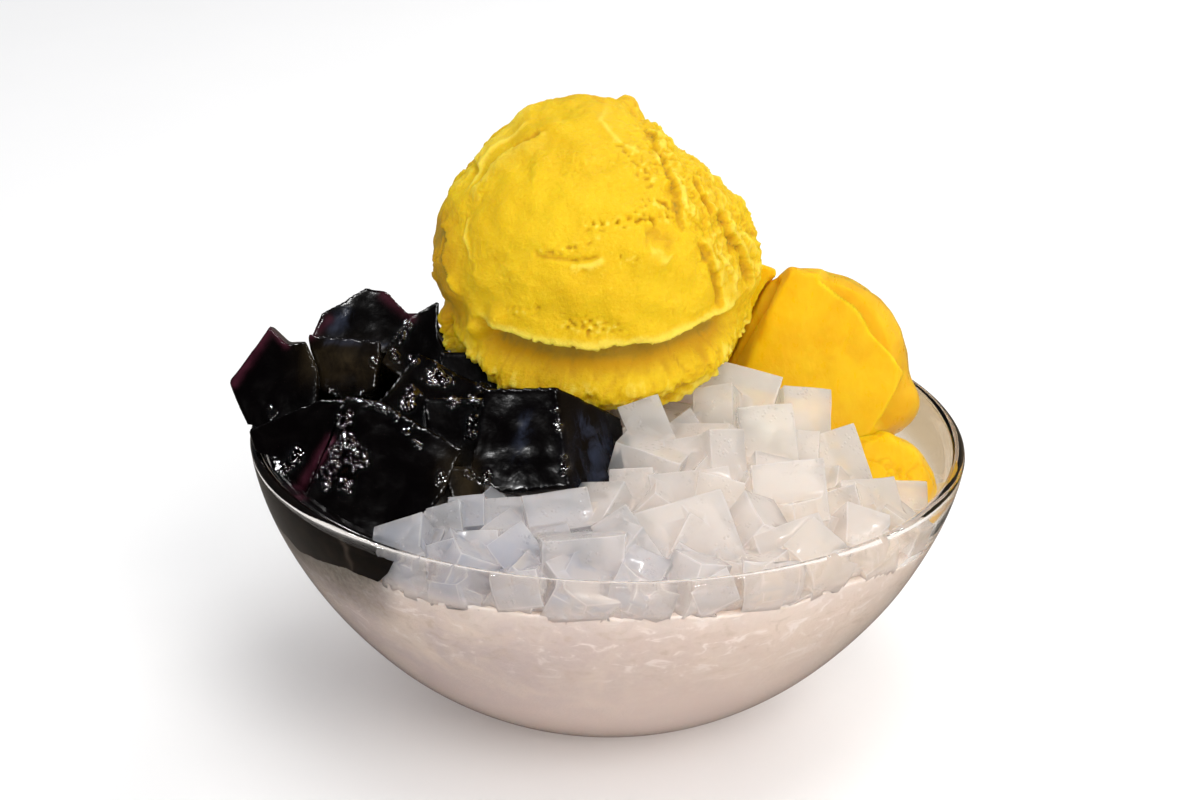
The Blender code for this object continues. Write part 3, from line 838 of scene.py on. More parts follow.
def make_heap_core():
    """The sunk body of the heap, under the cubes."""
    edge = float(inner_radius(HEAP_RIM_LEVEL)) - 1.0 * MM
    low_edge = float(inner_radius(HEAP_FLOOR)) - 1.0 * MM
    top = [(radius, HEAP_TOP) for radius in np.linspace(edge, 0, 40)]
    core = turned_object("heap_core", [(0, HEAP_FLOOR), (low_edge, HEAP_FLOOR)] + top, HEAP_SIDES)
    points = points_of(core)
    raised = points[:, 2] > HEAP_FLOOR + 1 * MM
    azimuth = azimuth_of(points)
    azimuth = np.where(azimuth < -90, azimuth + 360, azimuth)
    level = heap_level(radius_of(points), azimuth) - HEAP_CORE_DROP - 0.8 * MM
    level += layered(points * (1, 1, 0), 6 * MM, 2, 8) * 0.6 * MM
    level += (HEAP_FLOOR + 2 * MM - level) * smooth(-points[:, 0], 36 * MM, 42 * MM)
    points[:, 2] = np.where(raised, level, points[:, 2])
    limit = inner_radius(np.minimum(points[:, 2], BOWL_HEIGHT)) - 1.0 * MM
    move_points(core, with_radius(points, np.minimum(radius_of(points), limit)))
    return core


def jelly_look():
    look = Look("coconut_jelly")
    tint = look.value("tint")
    clouds = look.noise(5, 3, 0.55, 0.3)
    # painted shade on the cubes in front, painted light on those behind and higher up
    front = look.mix(tint, (0.43, 0.48, 0.59), (0.78, 0.70, 0.61))
    behind = look.mix(tint, (0.90, 0.90, 0.90), (0.99, 0.93, 0.84))
    milky = look.across_span("Z", 54, 48.5)
    base = look.layers(
        look.mix(look.value("high"), front, behind),
        (look.span(clouds, 0.3, 0.75, 0.0, 0.3), (0.80, 0.76, 0.72)),
        (look.times(milky, 0.9), (0.80, 0.70, 0.66)),
        # painted highlight: pale lines along the cube edges, fainter where the cubes sink into the slush
        (look.times(look.value("edge"), look.span(milky, 0.0, 1.0, 0.35, 0.05)), (0.98, 0.97, 0.96)),
    )
    specks = look.noise(0.9, 3, 0.6)
    wet = look.noise(5, 2, 0.5)
    look.set(Base_Color=base, Roughness=look.span(specks, 0.35, 0.75, 0.12, 0.25), IOR=1.34)
    look.set(Subsurface_Weight=1.0, Subsurface_Scale=0.013, Subsurface_Radius=(1.0, 0.92, 0.85))
    look.set(Transmission_Weight=look.span(milky, 0.0, 1.0, 0.64, 0.25))
    look.set(Coat_Weight=0.8, Coat_Roughness=0.06, Coat_IOR=1.36)
    soft = look.bump(wet, 0.20, 0.30)
    drops = look.times(look.beads(0.9), look.span(wet, 0.50, 0.62))
    fine = look.bump(drops, 0.10, 0.9, soft)
    look.set(Normal=fine, Coat_Normal=fine)
    clear_to_lamps(look, 0.6)
    return look


# ---------------------------------------------------------------- mango ice cream


def seen_from_front(right, up, near):
    return (Vector((1, 0, 0)) * right + direction(180, 67) * up + direction(0, 23) * near).normalized()


SCOOP_FLAT = seen_from_front(0.616, 0.788, 0.10)
# Bulges and dents of the ball: way, width in radians, height
SCOOP_LUMPS = (
    (seen_from_front(0.18, 0.98, 0.10), 0.09, 2.9 * MM),
    (seen_from_front(0.36, 0.92, 0.10), 0.07, -1.2 * MM),
    (seen_from_front(0.03, 0.99, 0.10), 0.09, -1.1 * MM),
    (seen_from_front(-0.28, 0.96, 0.10), 0.34, 1.1 * MM),
    (seen_from_front(-1.0, -0.02, 0.10), 0.40, 2.4 * MM),
    (seen_from_front(0.98, -0.12, 0.20), 0.24, 2.0 * MM),
    (seen_from_front(-0.75, -0.50, 0.45), 0.10, 2.6 * MM),
    (seen_from_front(-0.62, -0.45, 0.65), 0.07, 1.4 * MM),
    (seen_from_front(0.30, -0.05, 0.95), 0.20, 1.0 * MM),
    (seen_from_front(0.10, 0.10, -1.0), 0.40, 1.2 * MM),
)


def on_scoop(right, up):
    """The scoop's surface point, from its centre, that the photograph shows this many mm right and up."""
    centre = SCOOP_CENTRE - VIEW_POINT
    ray = (centre + VIEW_RIGHT * right * MM + VIEW_UP * up * MM).normalized()
    middle = centre.dot(ray)
    miss = (ray * middle - centre).length
    reach = math.sqrt(max(SCOOP_RADIUS**2 - miss**2, 0.0))
    point = ray * (middle - reach) - centre
    return np.array(point.normalized() * SCOOP_RADIUS)


# Marks on the front of the scoop: kind, points right and up of its centre in mm, width and height in mm
SCOOP_MARKS = (
    ("flap", ((-11.1, 30.3), (-15.0, 28.0), (-18.8, 25.5), (-22.1, 22.1), (-25.1, 18.8), (-27.6, 15.1),
              (-29.2, 11.3), (-30.5, 8.0)), 2.4, 1.1),
    ("flap", ((-9.6, 25.3), (-14.2, 23.0), (-18.4, 20.9), (-22.1, 17.6), (-24.6, 14.2), (-26.3, 10.9)),
     1.8, 0.7),
    ("flap", ((-28.2, -9.1), (-29.2, -5.0), (-30.3, -1.2), (-29.6, 2.6), (-30.5, 6.3)), 2.2, -1.0),
    ("flap", ((-30.3, -11.2), (-31.5, -8.3), (-32.2, -5.0), (-31.4, -2.0), (-31.8, 0.5)), 1.8, -0.9),
    ("flap", ((9.5, 28.0), (13.3, 21.3), (16.2, 15.1), (17.5, 8.0), (19.1, 3.4)), 2.0, 0.55),
    ("flap", ((21.2, 2.6), (23.7, -2.0), (25.4, -7.9), (24.6, -12.5)), 2.0, 0.8),
    ("flap", ((25.8, 9.8), (27.5, 4.2), (30.0, -1.2), (30.3, -6.8)), 2.2, 1.1),
    ("flap", ((20.0, 17.0), (22.5, 12.0), (24.0, 7.0)), 1.6, 0.8),
    ("pits", ((-4.4, 6.5), (-1.7, 5.7), (0.8, 5.5), (3.3, 6.3), (6.0, 6.3), (8.7, 7.1), (11.4, 6.5),
              (14.3, 6.9), (17.1, 7.8)), 1.1, -0.9),
    ("pits", ((8.0, 9.5), (12.0, 10.2), (16.0, 9.5)), 1.3, -0.5),
    ("groove", ((-14.0, -0.2), (-11.1, -1.0), (-8.0, -1.4), (-4.8, -1.8), (-1.7, -1.4), (1.2, -0.4)),
     0.5, -0.8),
    ("ridge", ((-6.5, -2.9), (-3.5, -3.0), (-0.5, -2.4), (1.6, -1.4)), 0.9, 0.55),
    ("pits", ((-14.0, 0.4), (-8.0, 0.2), (-2.0, 1.6), (2.0, 3.0)), 1.0, -0.4),
    ("pits", ((3.7, -1.6), (6.6, -2.2), (8.3, -0.4)), 0.9, -0.7),
    ("groove", ((9.0, 3.6), (11.5, 3.4), (14.0, 2.0), (15.4, 0.0)), 2.2, -0.9),
    ("ridge", ((9.8, 1.0), (12.5, 0.2), (14.6, -2.2)), 1.6, 0.5),
    ("pits", ((-19.4, -11.6), (-15.3, -12.5), (-12.1, -11.2)), 1.3, -0.5),
    ("pits", ((-3.8, -13.7), (-1.3, -16.2), (1.2, -14.5), (4.0, -15.8)), 1.3, -0.7),
    ("ridge", ((9.1, -29.1), (12.9, -26.6), (16.6, -24.6), (20.4, -22.0), (23.7, -19.5), (25.8, -17.3)),
     0.7, 1.0),
    ("groove", ((10.5, -26.5), (14.0, -24.2), (18.0, -21.6), (21.5, -18.8)), 1.2, -0.7),
    ("ridge", ((-13.8, 27.2), (-16.3, 25.1), (-20.1, 22.4), (-23.6, 18.8), (-25.7, 14.1), (-27.4, 11.5)),
     0.6, 0.8),
    ("ridge", ((-30.5, 6.8), (-30.5, 2.6), (-30.9, -1.6), (-28.8, -5.8), (-27.6, -9.3)), 0.7, 1.0),
    ("ridge", ((-26.5, 7.5), (-27.0, 3.0), (-26.0, -2.0)), 0.5, 0.5),
    ("ridge", ((9.8, 23.4), (12.9, 18.8), (16.0, 16.1), (17.5, 12.0), (18.1, 7.8)), 0.6, 0.8),
    ("ridge", ((24.8, 2.6), (26.4, -1.6), (27.9, -5.8), (27.5, -8.9)), 0.7, 0.9),
    ("ridge", ((2.0, 31.0), (0.5, 27.0), (4.0, 23.5), (9.0, 20.0)), 0.5, 0.45),
    ("pits", ((4.0, 24.5), (9.0, 17.5), (12.5, 13.0)), 2.6, -0.3),
    ("pits", ((-9.0, -13.5), (-5.0, -15.5), (0.5, -16.5), (5.5, -14.5)), 1.8, -0.4),
)
# Drips: right and up of its centre, radius and height, in mm
SCOOP_DRIPS = ((-31.0, -13.0, 2.6, 2.0), (-29.4, -16.4, 2.3, 2.0), (-26.9, -18.7, 2.9, 2.8),
               (-24.5, -15.5, 2.0, 0.9), (-23.5, -19.5, 1.6, 0.8))


def beside_line(points, line, facing=None):
    """Each point's distance to a line of points, its share of the way along, and + or - for its side.

    The sides are as seen from the way that the points face: out from the origin, unless one is given.
    """
    nearest = np.full(len(points), np.inf)
    along = np.zeros(len(points))
    side = np.ones(len(points))
    lengths = np.linalg.norm(np.diff(line, axis=0), axis=1)
    before = np.concatenate(((0,), np.cumsum(lengths)))
    for start, end, length, so_far in zip(line[:-1], line[1:], lengths, before):
        step = end - start
        share = np.clip((points - start) @ step / (step @ step), 0, 1)
        gap = points - (start + share[:, None] * step)
        distance = np.linalg.norm(gap, axis=1)
        nearer = distance < nearest
        nearest[nearer] = distance[nearer]
        along[nearer] = (so_far + share[nearer] * length) / before[-1]
        leftward = np.cross(unit(points[nearer]) if facing is None else facing, step)
        side[nearer] = np.where((gap[nearer] * leftward).sum(-1) < 0, -1.0, 1.0)
    return nearest, along, side


def beside_flat_line(places, line):
    """The same for places in the photograph's plane."""
    flat, line = (np.column_stack((spots, np.zeros(len(spots)))) for spots in (places, line))
    return beside_line(flat, line, (0, 0, 1))


def mark(kind, points, line, width, height, seed):
    """Height change and shade (0 to 1, dark in a hollow) that one mark gives the scoop's points."""
    change = np.zeros(len(points))
    shade = np.zeros(len(points))
    middle = line.mean(0)
    reach = np.linalg.norm(line - middle, axis=1).max() + 5 * width
    near = np.linalg.norm(points - middle, axis=1) < reach
    some = points[near]
    if not len(some):
        return change, shade
    wobble = np.stack([layered(some, 2.6 * MM, 2, seed + n) for n in range(3)], -1) * width * 0.45
    distance, along, side = beside_line(some + wobble, line)
    ends = smooth(along, 0.0, 0.14) * smooth(1 - along, 0.0, 0.14)
    across = bell(distance / width)
    if kind == "flap":
        signed = distance * side * np.sign(height)
        over = np.where(signed > 0, np.exp(-(signed / (1.6 * width))), bell(signed / (0.22 * width)))
        under = np.where(signed <= 0, bell((signed + 0.5 * width) / (0.45 * width)), 0)
        change[near] = abs(height) * ends * (over - 0.8 * under)
        shade[near] = ends * under * 0.8 - ends * over * 0.35
    elif kind == "pits":
        spots = ripple(some, 1.05 * MM, seed + 9)
        holes = smooth(spots, 0.10, 0.42)
        change[near] = height * ends * across * (1.4 * holes + 0.2)
        shade[near] = 0.9 * ends * across * holes - 0.5 * ends * across * smooth(-spots, 0.10, 0.42)
    else:
        rough = 0.7 + 0.5 * ripple(some, 2.0 * MM, seed + 5)
        change[near] = height * ends * across * rough
        shade[near] = ends * across * (0.6 if height < 0 else -0.5)
    return change, shade


def random_marks(chance, count):
    """Folds and rows of pits over the rest of the scoop, away from the part that the photograph shows."""
    found = []
    while len(found) < count:
        azimuth, elevation = chance.uniform(75, 285), chance.uniform(-25, 70)
        start = direction(azimuth, elevation)
        heading = direction(azimuth + chance.choice((-90, 90)), chance.uniform(-25, 25))
        if chance.random() < 0.4:
            heading = direction(azimuth, elevation + 90)
        line, way = [], start
        bend = chance.uniform(-0.12, 0.12)
        for _ in range(6):
            line.append(np.array(way) * SCOOP_RADIUS)
            heading = (heading + way.cross(heading) * bend).normalized()
            way = (way + heading * chance.uniform(0.08, 0.15)).normalized()
        kind = chance.choice(("flap", "flap", "pits", "groove"))
        width = {"flap": 2.2, "pits": 1.3, "groove": 0.8}[kind] * chance.uniform(0.8, 1.2)
        height = {"flap": 0.65 * chance.choice((-1, 1)), "pits": -0.8, "groove": -0.35}[kind]
        found.append((kind, np.array(line), width * MM, height * MM))
    return found


def scoop_body(ways):
    """The ball's radius, with its flat side, bulges and dents."""
    facing = ways @ np.array(SCOOP_FLAT)
    radius = np.full(len(ways), SCOOP_RADIUS)
    flat = SCOOP_FLAT_DISTANCE / np.maximum(facing, 1e-6)
    soft = 1.2 * MM
    radius = np.where(facing > 0.2, -soft * np.log(np.exp(-radius / soft) + np.exp(-flat / soft)), radius)
    for lump, spread, height in SCOOP_LUMPS:
        radius += height * bell(angles_to(ways, lump) / spread)
    return radius


def lip_and_skirt(ways, ball, across, near):
    """Height and shade of the lip, the hollow under it and the skirt, and how much each point is skirt."""
    jagged = layered(ball, 3.2 * MM, 3, 21) * 0.55 * MM + layered(ball, 1.5 * MM, 2, 25) * 0.28 * MM
    level = SCOOP_LIP + 0.03 * ball[:, 0] + 6.0 * ball[:, 0] ** 2  # tilted a little, and sagging in the middle
    below = level - ball[:, 2] + jagged
    calm = below - 0.75 * jagged
    in_front = 0.25 + 0.75 * ramp(-ways[:, 1], 0.30, 0.60)
    in_front *= 1 - 0.9 * (1 - smooth(across, -25, -19)) * smooth(near, 0.0, 0.25)
    in_front *= 1 - 0.7 * smooth(across, 23, 28) * smooth(near, 0.0, 0.25)
    upper = 1.7 * MM * np.exp(-np.where(below < 0, -below, 0) / (1.9 * MM)) * (below < 0)
    edge = 1.7 * MM * bell(below / (0.55 * MM)) * (below >= 0)
    edge *= 0.75 + 0.6 * ripple(ball, 2.6 * MM, 61)
    groove = 2.3 * MM * smooth(below, 0.2 * MM, 1.3 * MM) * (1 - smooth(calm, 3.2 * MM, 8.0 * MM))
    flare = smooth(calm, 4.2 * MM, 8.8 * MM)
    ragged = perlin(ways, 6.0) * 0.9 * MM + perlin(ways, 14.0) * 0.5 * MM * (0.4 + 0.4 * flare)
    ragged += flare * layered(ball, 1.5 * MM, 2, 57) * 0.45 * MM
    skirt = 1.8 + 4.0 * smooth(-ways[:, 1], 0.35, 0.75) + 1.2 * smooth(ways[:, 1], 0.2, 0.7)
    shade = 1.15 * in_front * smooth(below, 0.2 * MM, 1.0 * MM) * (1 - smooth(calm, 4.2 * MM, 7.8 * MM))
    shade -= 0.6 * flare * smooth(layered(ball, 2.2 * MM, 3, 58), -0.2, 0.4)
    shade -= 0.6 * in_front * bell((below + 0.3 * MM) / (0.9 * MM))
    return in_front * (upper + edge - groove) + skirt * MM * flare + ragged, shade, flare


RANDOM_MARKS, RANDOM_DARKNESS = 26, 0.45


def all_marks():
    """Marks that the photograph shows, then random and paler ones: kind, line, width, height and darkness."""
    for kind, line, width, height in SCOOP_MARKS:
        yield kind, np.array([on_scoop(*spot) for spot in line]), width * MM, height * MM, 1.0
    for found in random_marks(random.Random(3), RANDOM_MARKS):
        yield *found, RANDOM_DARKNESS


def make_scoop():
    ways, faces = grid_ball(SCOOP_CELLS)
    ball = ways * SCOOP_RADIUS
    across, high = (ball @ way / MM for way in ALONG_VIEW[:2])
    near = facing_camera(ways)
    change, shade, flare = lip_and_skirt(ways, ball, across, near)
    radius = scoop_body(ways)
    radius += change
    for seed, (kind, line, width, height, darkness) in enumerate(all_marks(), 40):
        change, dark = mark(kind, ball, line, width, height, seed)
        radius += change
        shade += darkness * dark
    for right, up, size, height in SCOOP_DRIPS:
        gap = np.linalg.norm(ball - on_scoop(right, up), axis=1) / (size * MM)
        bulge = np.sqrt(np.clip(1 - gap**2, 0, 1))
        radius += height * MM * bulge
        shade -= 0.25 * bulge
    # Crumbs on the skirt and the ragged right side, and the fine grain of the rest
    right_side = smooth(across + 0.55 * np.maximum(high, 0), 15, 25) * smooth(high, -12, 0)
    patches = smooth(layered(ball, 11 * MM, 2, 31), 0.05, 0.45)
    crumbs = np.clip(0.15 + 0.9 * flare + 1.2 * right_side + 0.45 * patches, 0, 1.4)
    radius += right_side * layered(ball, 5.5 * MM, 3, 33) * 0.9 * MM
    grain = layered(ball, 2.4 * MM, 4, 51, 0.62)
    sharp = np.abs(layered(ball, 3.4 * MM, 3, 71, 0.55))
    radius += crumbs * ((0.50 + 0.35 * flare) * grain - 0.55 * np.maximum(0.25 - sharp, 0) * 2) * MM
    shade += crumbs * np.clip(0.55 - 3.2 * sharp, 0, 0.5) - 0.45 * crumbs * np.clip(grain, 0, 1)
    shade += 1.1 * smooth(-across, 24.5, 30.5) * smooth(near, -0.2, 0.2) * smooth(14 - high, 0, 12)
    points = ways * radius[:, None]
    bottom = SCOOP_BOTTOM - 0.8 * MM + 1.1 * MM * ripple(ball, 3.5 * MM, 91)
    points[:, 2] = np.maximum(points[:, 2], bottom)
    scoop = mesh_object("mango_ice_cream", points + np.array(SCOOP_CENTRE), faces)
    set_values(scoop, "shade", np.clip(shade, -1, 1.3))
    set_values(scoop, "crumb", crumbs)
    dress(scoop, ice_cream_look(), "ice_cream", "ice_cream")


def ice_cream_look():
    look = Look("ice_cream")
    shade, crumb = look.value("shade"), look.value("crumb")
    clouds = look.noise(12, 3, 0.5, 0.3)
    grain = look.noise(0.8, 5, 0.7)
    base = look.layers(
        look.mix(look.span(clouds, 0.3, 0.7), (0.77, 0.48, 0.005), (0.83, 0.55, 0.008)),
        (look.span(grain, 0.5, 0.75, 0.0, 0.50), (0.92, 0.67, 0.04)),
        (look.span(grain, 0.47, 0.28, 0.0, 0.40), (0.66, 0.37, 0.004)),
        (look.span(shade, 0.0, 0.9, 0.0, 0.80), (0.60, 0.30, 0.006)),
        (look.span(shade, 0.80, 1.40, 0.0, 0.95), (0.35, 0.235, 0.026)),
        (look.span(shade, 0.0, -0.6, 0.0, 0.60), (0.97, 0.78, 0.12)),
    )
    look.set(Base_Color=base, Roughness=look.span(grain, 0.3, 0.75, 0.32, 0.55), IOR=1.36)
    look.set(Specular_IOR_Level=0.35)
    look.set(Subsurface_Weight=0.45, Subsurface_Scale=0.0028, Subsurface_Radius=(1.0, 0.55, 0.12))
    pits = look.cells(1.3)
    scraped = look.noise(0.9, 4, 0.65, 0.4, stretch=(0.35, 0.35, 1.0))
    rough = look.bump(grain, 0.42, 0.9)
    drawn = look.bump(scraped, 0.22, look.span(crumb, 0.0, 1.0, 0.35, 1.0), rough)
    holes = look.bump(look.span(pits, 0.0, 0.35), 0.12, 0.4, drawn)
    look.set(Normal=holes)
    return look


# ---------------------------------------------------------------- grass jelly

JELLY_NODES = ("front", "crest", "right", "low", "rim", "middle", "wedge", "peak", "back_left", "back")
DEEP_NODES = ("deep_front", "deep_side", "deep_back")


def keep_above_dark_edge(points):
    """Draws black jelly in from the glass below its edge, so that the slush hides it."""
    under = dark_floor(azimuth_of(points)) - 0.2 * MM - points[:, 2]
    radius = radius_of(points)
    limit = inner_radius(np.clip(points[:, 2], BASE_THICKNESS, BOWL_HEIGHT)) - 1.2 * MM
    hidden = (under > 0) & (points[:, 2] < BOWL_HEIGHT)
    return with_radius(points, np.where(hidden, np.minimum(radius, limit), radius))


def finish_jelly(piece, look, pressed, *nodes):
    """Per-point values for wet places, thin places painted as lit through, painted sheen and brown places, and
    the plain look where it touches the glass.
    """
    points = points_of(piece)
    places = photo_place(points)
    ragged = np.stack([layered(points, 2.6 * MM, 2, seed) for seed in (141, 142)], -1)
    set_values(piece, "wet", spots_at(places + ragged * 1.2, WET_SPOTS))
    shown = smooth(facing_camera(normals_of(piece)), -0.08, 0.05)
    # partly the jelly's own maroon where it is thin, partly painted light shining through it
    set_values(piece, "thin", shown * strokes_at(places + ragged * 0.3, THIN_STROKES))
    set_values(piece, "film", strokes_at(places + ragged * 0.6, PAINTED_SHEEN_STROKES))
    set_values(piece, "brown", strokes_at(places + ragged * 0.6, BROWN_STROKES))
    dress(piece, look, "grass_jelly", *nodes)
    piece.data.materials.append(pressed.material)
    limit = contact_radius(points[:, 2], BLOCKS_INTO_GLASS) - 0.25 * MM
    touches = (radius_of(points) > limit) & (points[:, 2] < BOWL_HEIGHT - 0.8 * MM)
    for face in piece.data.polygons:
        face.material_index = int(all(touches[corner] for corner in face.vertices))


def photo_point(right, up, depth):
    """The point that the photograph shows this many mm right and up of the rim's centre, at this depth."""
    aside = (VIEW_RIGHT * right + VIEW_UP * up) * MM * (depth * MM / CAMERA_DISTANCE)
    return VIEW_POINT + aside + VIEW_INTO * depth * MM


# Jelly sunk between the blocks, in mm: its outline in the photograph, right and up of the rim's centre, and its
# nearest and farthest depth from the camera
SUNK_JELLY = (
    (((-39, 6), (-25, 6), (-25, -4), (-27, -10), (-31, -9.5), (-38, -4)), 519, 538),
    (((-35, -8), (-30, -8.5), (-26, -12), (-26, -15.5), (-30, -17.0), (-33, -15.5)), 512, 524),
    (((-35.5, 15.7), (-21.7, 15.7), (-20.5, 6.0), (-29, 7.0), (-35.5, 11.0)), 533, 550),
)


def make_sunk_jelly(look, pressed):
    for index, (outline, near, far) in enumerate(SUNK_JELLY):
        count = len(outline)
        points = [photo_point(*spot, depth) for depth in (near, far) for spot in outline]
        ends = [tuple(range(count))[::-1], tuple(range(count, 2 * count))]
        sides = [(n, (n + 1) % count, count + (n + 1) % count, count + n) for n in range(count)]
        thing = refined(mesh_object(f"grass_jelly_sunk_{index}", points, ends + sides), 0.5 * MM, 4)
        finish_jelly(thing, look, pressed)


SKIN_THICKNESS = 3 * MM
SKIN_START, SKIN_END = -108, -32.6  # azimuths in degrees


def make_wall_jelly(look, pressed):
    """The skin of black jelly that lies against the glass at the left, under the rim."""
    azimuth = np.linspace(SKIN_START, SKIN_END, 190)
    way = level_ways(azimuth)
    low, high = dark_floor(azimuth), np.full(len(azimuth), BOWL_HEIGHT - 1.3 * MM)
    ends = smooth(azimuth, SKIN_START, -105) * (1 - smooth(azimuth, -33.6, SKIN_END))
    rings, steps = [], 24
    outside = [(n / steps, 0.0) for n in range(steps + 1)]
    inside = [(share, SKIN_THICKNESS) for share, _ in outside[::-1]]
    for share, inward in outside + inside:
        height = low + (high - low) * (0.5 + (share - 0.5) * ends)
        rings.append(ring(way, contact_radius(height, SKIN_INTO_GLASS) - inward * ends, height))
    faces = woven(len(rings), len(azimuth), rows_close=True, columns_close=False)
    skin = mesh_object("grass_jelly_wall_skin", *weld(np.concatenate(rings), faces))
    finish_jelly(skin, look, pressed)


def make_grass_jelly():
    look, pressed = grass_jelly_look(), pressed_jelly_look()
    make_wall_jelly(look, pressed)
    make_sunk_jelly(look, pressed)
    for label in JELLY_NODES + DEEP_NODES:
        node = f"grass_jelly_{label}"
        fine = label not in DEEP_NODES
        piece = remeshed(node, f"{node}_block", (0.5 if fine else 0.9) * MM, 3)
        points, normals = points_of(piece), normals_of(piece)
        slow = layered(points, 9 * MM, 2, 101) * 0.42 * MM
        quick = layered(points, 2.8 * MM, 2, 131) * 0.05 * MM
        points = points + normals * (slow + quick)[:, None]
        move_points(piece, keep_above_dark_edge(press_on_glass(points, 2.0 * MM, BLOCKS_INTO_GLASS)))
        finish_jelly(piece, look, pressed, node)


# Where the photograph shows wet jelly: right and up of the rim's centre, and the spot's radius, in mm
WET_SPOTS = (
    (-36.1, 10.9, 2.4), (-34.0, 9.8, 1.8), (-41.4, 6.9, 1.7), (-42.0, 4.5, 1.7), (-32.5, 5.6, 1.5),
    (-26.6, 8.8, 1.5), (-27.6, 5.0, 1.4), (-28.7, 1.4, 1.5), (-29.1, -1.8, 1.3), (-52.3, 6.6, 1.3),
    (-50.2, 5.6, 1.2), (-47.7, 3.5, 1.2), (-45.0, 1.6, 1.2), (-42.4, -0.7, 1.2), (-40.3, -3.3, 1.2),
    (-55.3, -3.3, 2.2), (-57.2, -5.0, 2.0), (-58.7, -9.2, 2.2), (-59.3, -11.3, 2.0), (-55.5, -12.6, 1.6),
    (-55.5, 1.4, 1.6), (-53.0, -7.0, 2.6), (-35.5, -10.7, 1.5), (-29.1, -10.2, 1.3), (-25.5, -10.2, 1.6),
    (-25.5, -12.0, 1.2), (-66.1, -5.8, 2.0), (-68.5, -9.0, 1.8), (-58.7, 7.3, 1.1), (-56.6, 6.2, 1.1),
    (-42.4, 21.6, 1.2), (-43.5, 18.6, 1.3), (-49.2, 13.6, 1.2), (-45.0, 14.9, 1.4), (-41.0, 14.0, 1.3),
    (-11.2, 3.5, 1.1), (-10.5, -0.5, 1.1), (-9.5, -7.0, 1.1), (-9.0, -9.5, 1.2), (-71.0, 3.0, 1.4),
)
# Strokes where it shows thin maroon jelly painted as lit through, brown jelly, or a painted bluish sheen: their
# points and half width, in mm
THIN_STROKES = (
    (((-58.7, -2.8), (-62.5, -9.0), (-66.2, -15.2)), 1.0),
    (((-71.3, 21.0), (-75.0, 15.0), (-79.1, 9.2)), 1.0), (((-71.3, 21.0), (-68.0, 17.2)), 0.7),
    (((-47.3, 27.8), (-41.6, 23.1)), 1.1), (((-62.9, 19.1), (-58.7, 22.5)), 1.0),
)
BROWN_STROKES = (
    (((-31.5, -9.5), (-30.0, -15.0)), 3.5), (((-61.0, 14.0), (-49.0, 12.5)), 4.0),
    (((-68.0, -24.0), (-58.0, -30.0)), 4.0),
)
PAINTED_SHEEN_STROKES = (
    (((-16.9, 2.0), (-18.2, -3.0), (-18.6, -6.6)), 1.2), (((-62.5, 18.3), (-47.0, 17.2)), 0.7),
    (((-57.5, 20.5), (-55.5, 24.0)), 1.6), (((-5.0, 1.0), (-3.0, -2.5)), 2.0),
    (((-2.5, -4.0), (-0.5, -14.0)), 4.0), (((-55.5, -22.9), (-53.0, -31.8)), 0.35),
)


def spots_at(places, spots):
    """How strongly each place lies in ragged spots of (right, up, radius) in mm."""
    total = np.zeros(len(places))
    for right, up, radius in spots:
        gap = np.linalg.norm(places - (right, up), axis=1) / radius
        total = np.maximum(total, bell(gap))
    return total


def strokes_at(places, strokes):
    total = np.zeros(len(places))
    for line, width in strokes:
        gap, _, _ = beside_flat_line(places, line)
        total = np.maximum(total, bell(gap / width))
    return total


def grass_jelly_look():
    look = Look("grass_jelly")
    wet = look.value("wet")
    clouds = look.noise(6, 4, 0.6, 0.5)
    streaks = look.noise(4, 4, 0.6, 0.5, stretch=(1.0, 1.0, 0.5))
    base = look.layers(
        look.mix(look.span(clouds, 0.4, 0.75), (0.0008, 0.0004, 0.0005), (0.0020, 0.0014, 0.0014)),
        # thin jelly's maroon, painted as lit through
        (look.times(look.value("thin"), look.span(clouds, 0.3, 0.6, 0.5, 1.0)), (0.044, 0.009, 0.017)),
        # painted reflection: a bluish sheen
        (look.times(look.value("film"), look.span(streaks, 0.38, 0.66)), (0.021, 0.026, 0.044)),
        (look.times(look.value("brown"), look.span(streaks, 0.25, 0.75, 0.2, 1.0)), (0.030, 0.021, 0.010)),
    )
    soaked = look.span(wet, 0.10, 0.50)
    rough = look.math("SUBTRACT", look.span(clouds, 0.35, 0.7, 0.14, 0.22), look.times(soaked, 0.09))
    look.set(Base_Color=base, Roughness=rough, IOR=1.34, Coat_Weight=look.times(soaked, 0.9))
    look.set(Coat_Roughness=0.03, Coat_IOR=1.50, Specular_IOR_Level=0.16)
    rippled = look.bump(look.noise(1.2, 2, 0.5), 0.07, 0.6)
    rolling = look.bump(look.noise(5, 2, 0.5), 0.35, 0.3, rippled)
    pools = look.noise(1.5, 2, 0.5, stretch=(1.0, 1.0, 0.6))
    pools = look.bump(look.times(pools, look.span(wet, 0.45, 0.85)), 0.75, 1.0, rolling)
    drops = look.times(look.beads(1.3), look.span(look.noise(1.1, 2, 0.5), 0.38, 0.52))
    beads = look.bump(look.times(drops, look.span(wet, 0.2, 0.5)), 0.24, 1.0, pools)
    look.set(Normal=beads, Coat_Normal=beads)
    return look


def pressed_jelly_look():
    """Black jelly against the glass: no gloss of its own, since no air lies between."""
    look = Look("pressed_grass_jelly")
    clouds = look.noise(6, 4, 0.6, 0.5)
    base = look.layers(
        look.mix(look.span(clouds, 0.4, 0.75), (0.0022, 0.0012, 0.0008), (0.0060, 0.0035, 0.0018)),
        # painted sheen, paler
        (look.value("film"), (0.045, 0.035, 0.028)),
        (look.times(look.value("brown"), look.span(clouds, 0.3, 0.7)), (0.016, 0.010, 0.006)),
    )
    look.set(Base_Color=base, Roughness=look.span(clouds, 0.35, 0.7, 0.5, 0.7), Specular_IOR_Level=0.0)
    look.set(Normal=look.bump(clouds, 0.2, 0.3))
    return look


# ---------------------------------------------------------------- mango

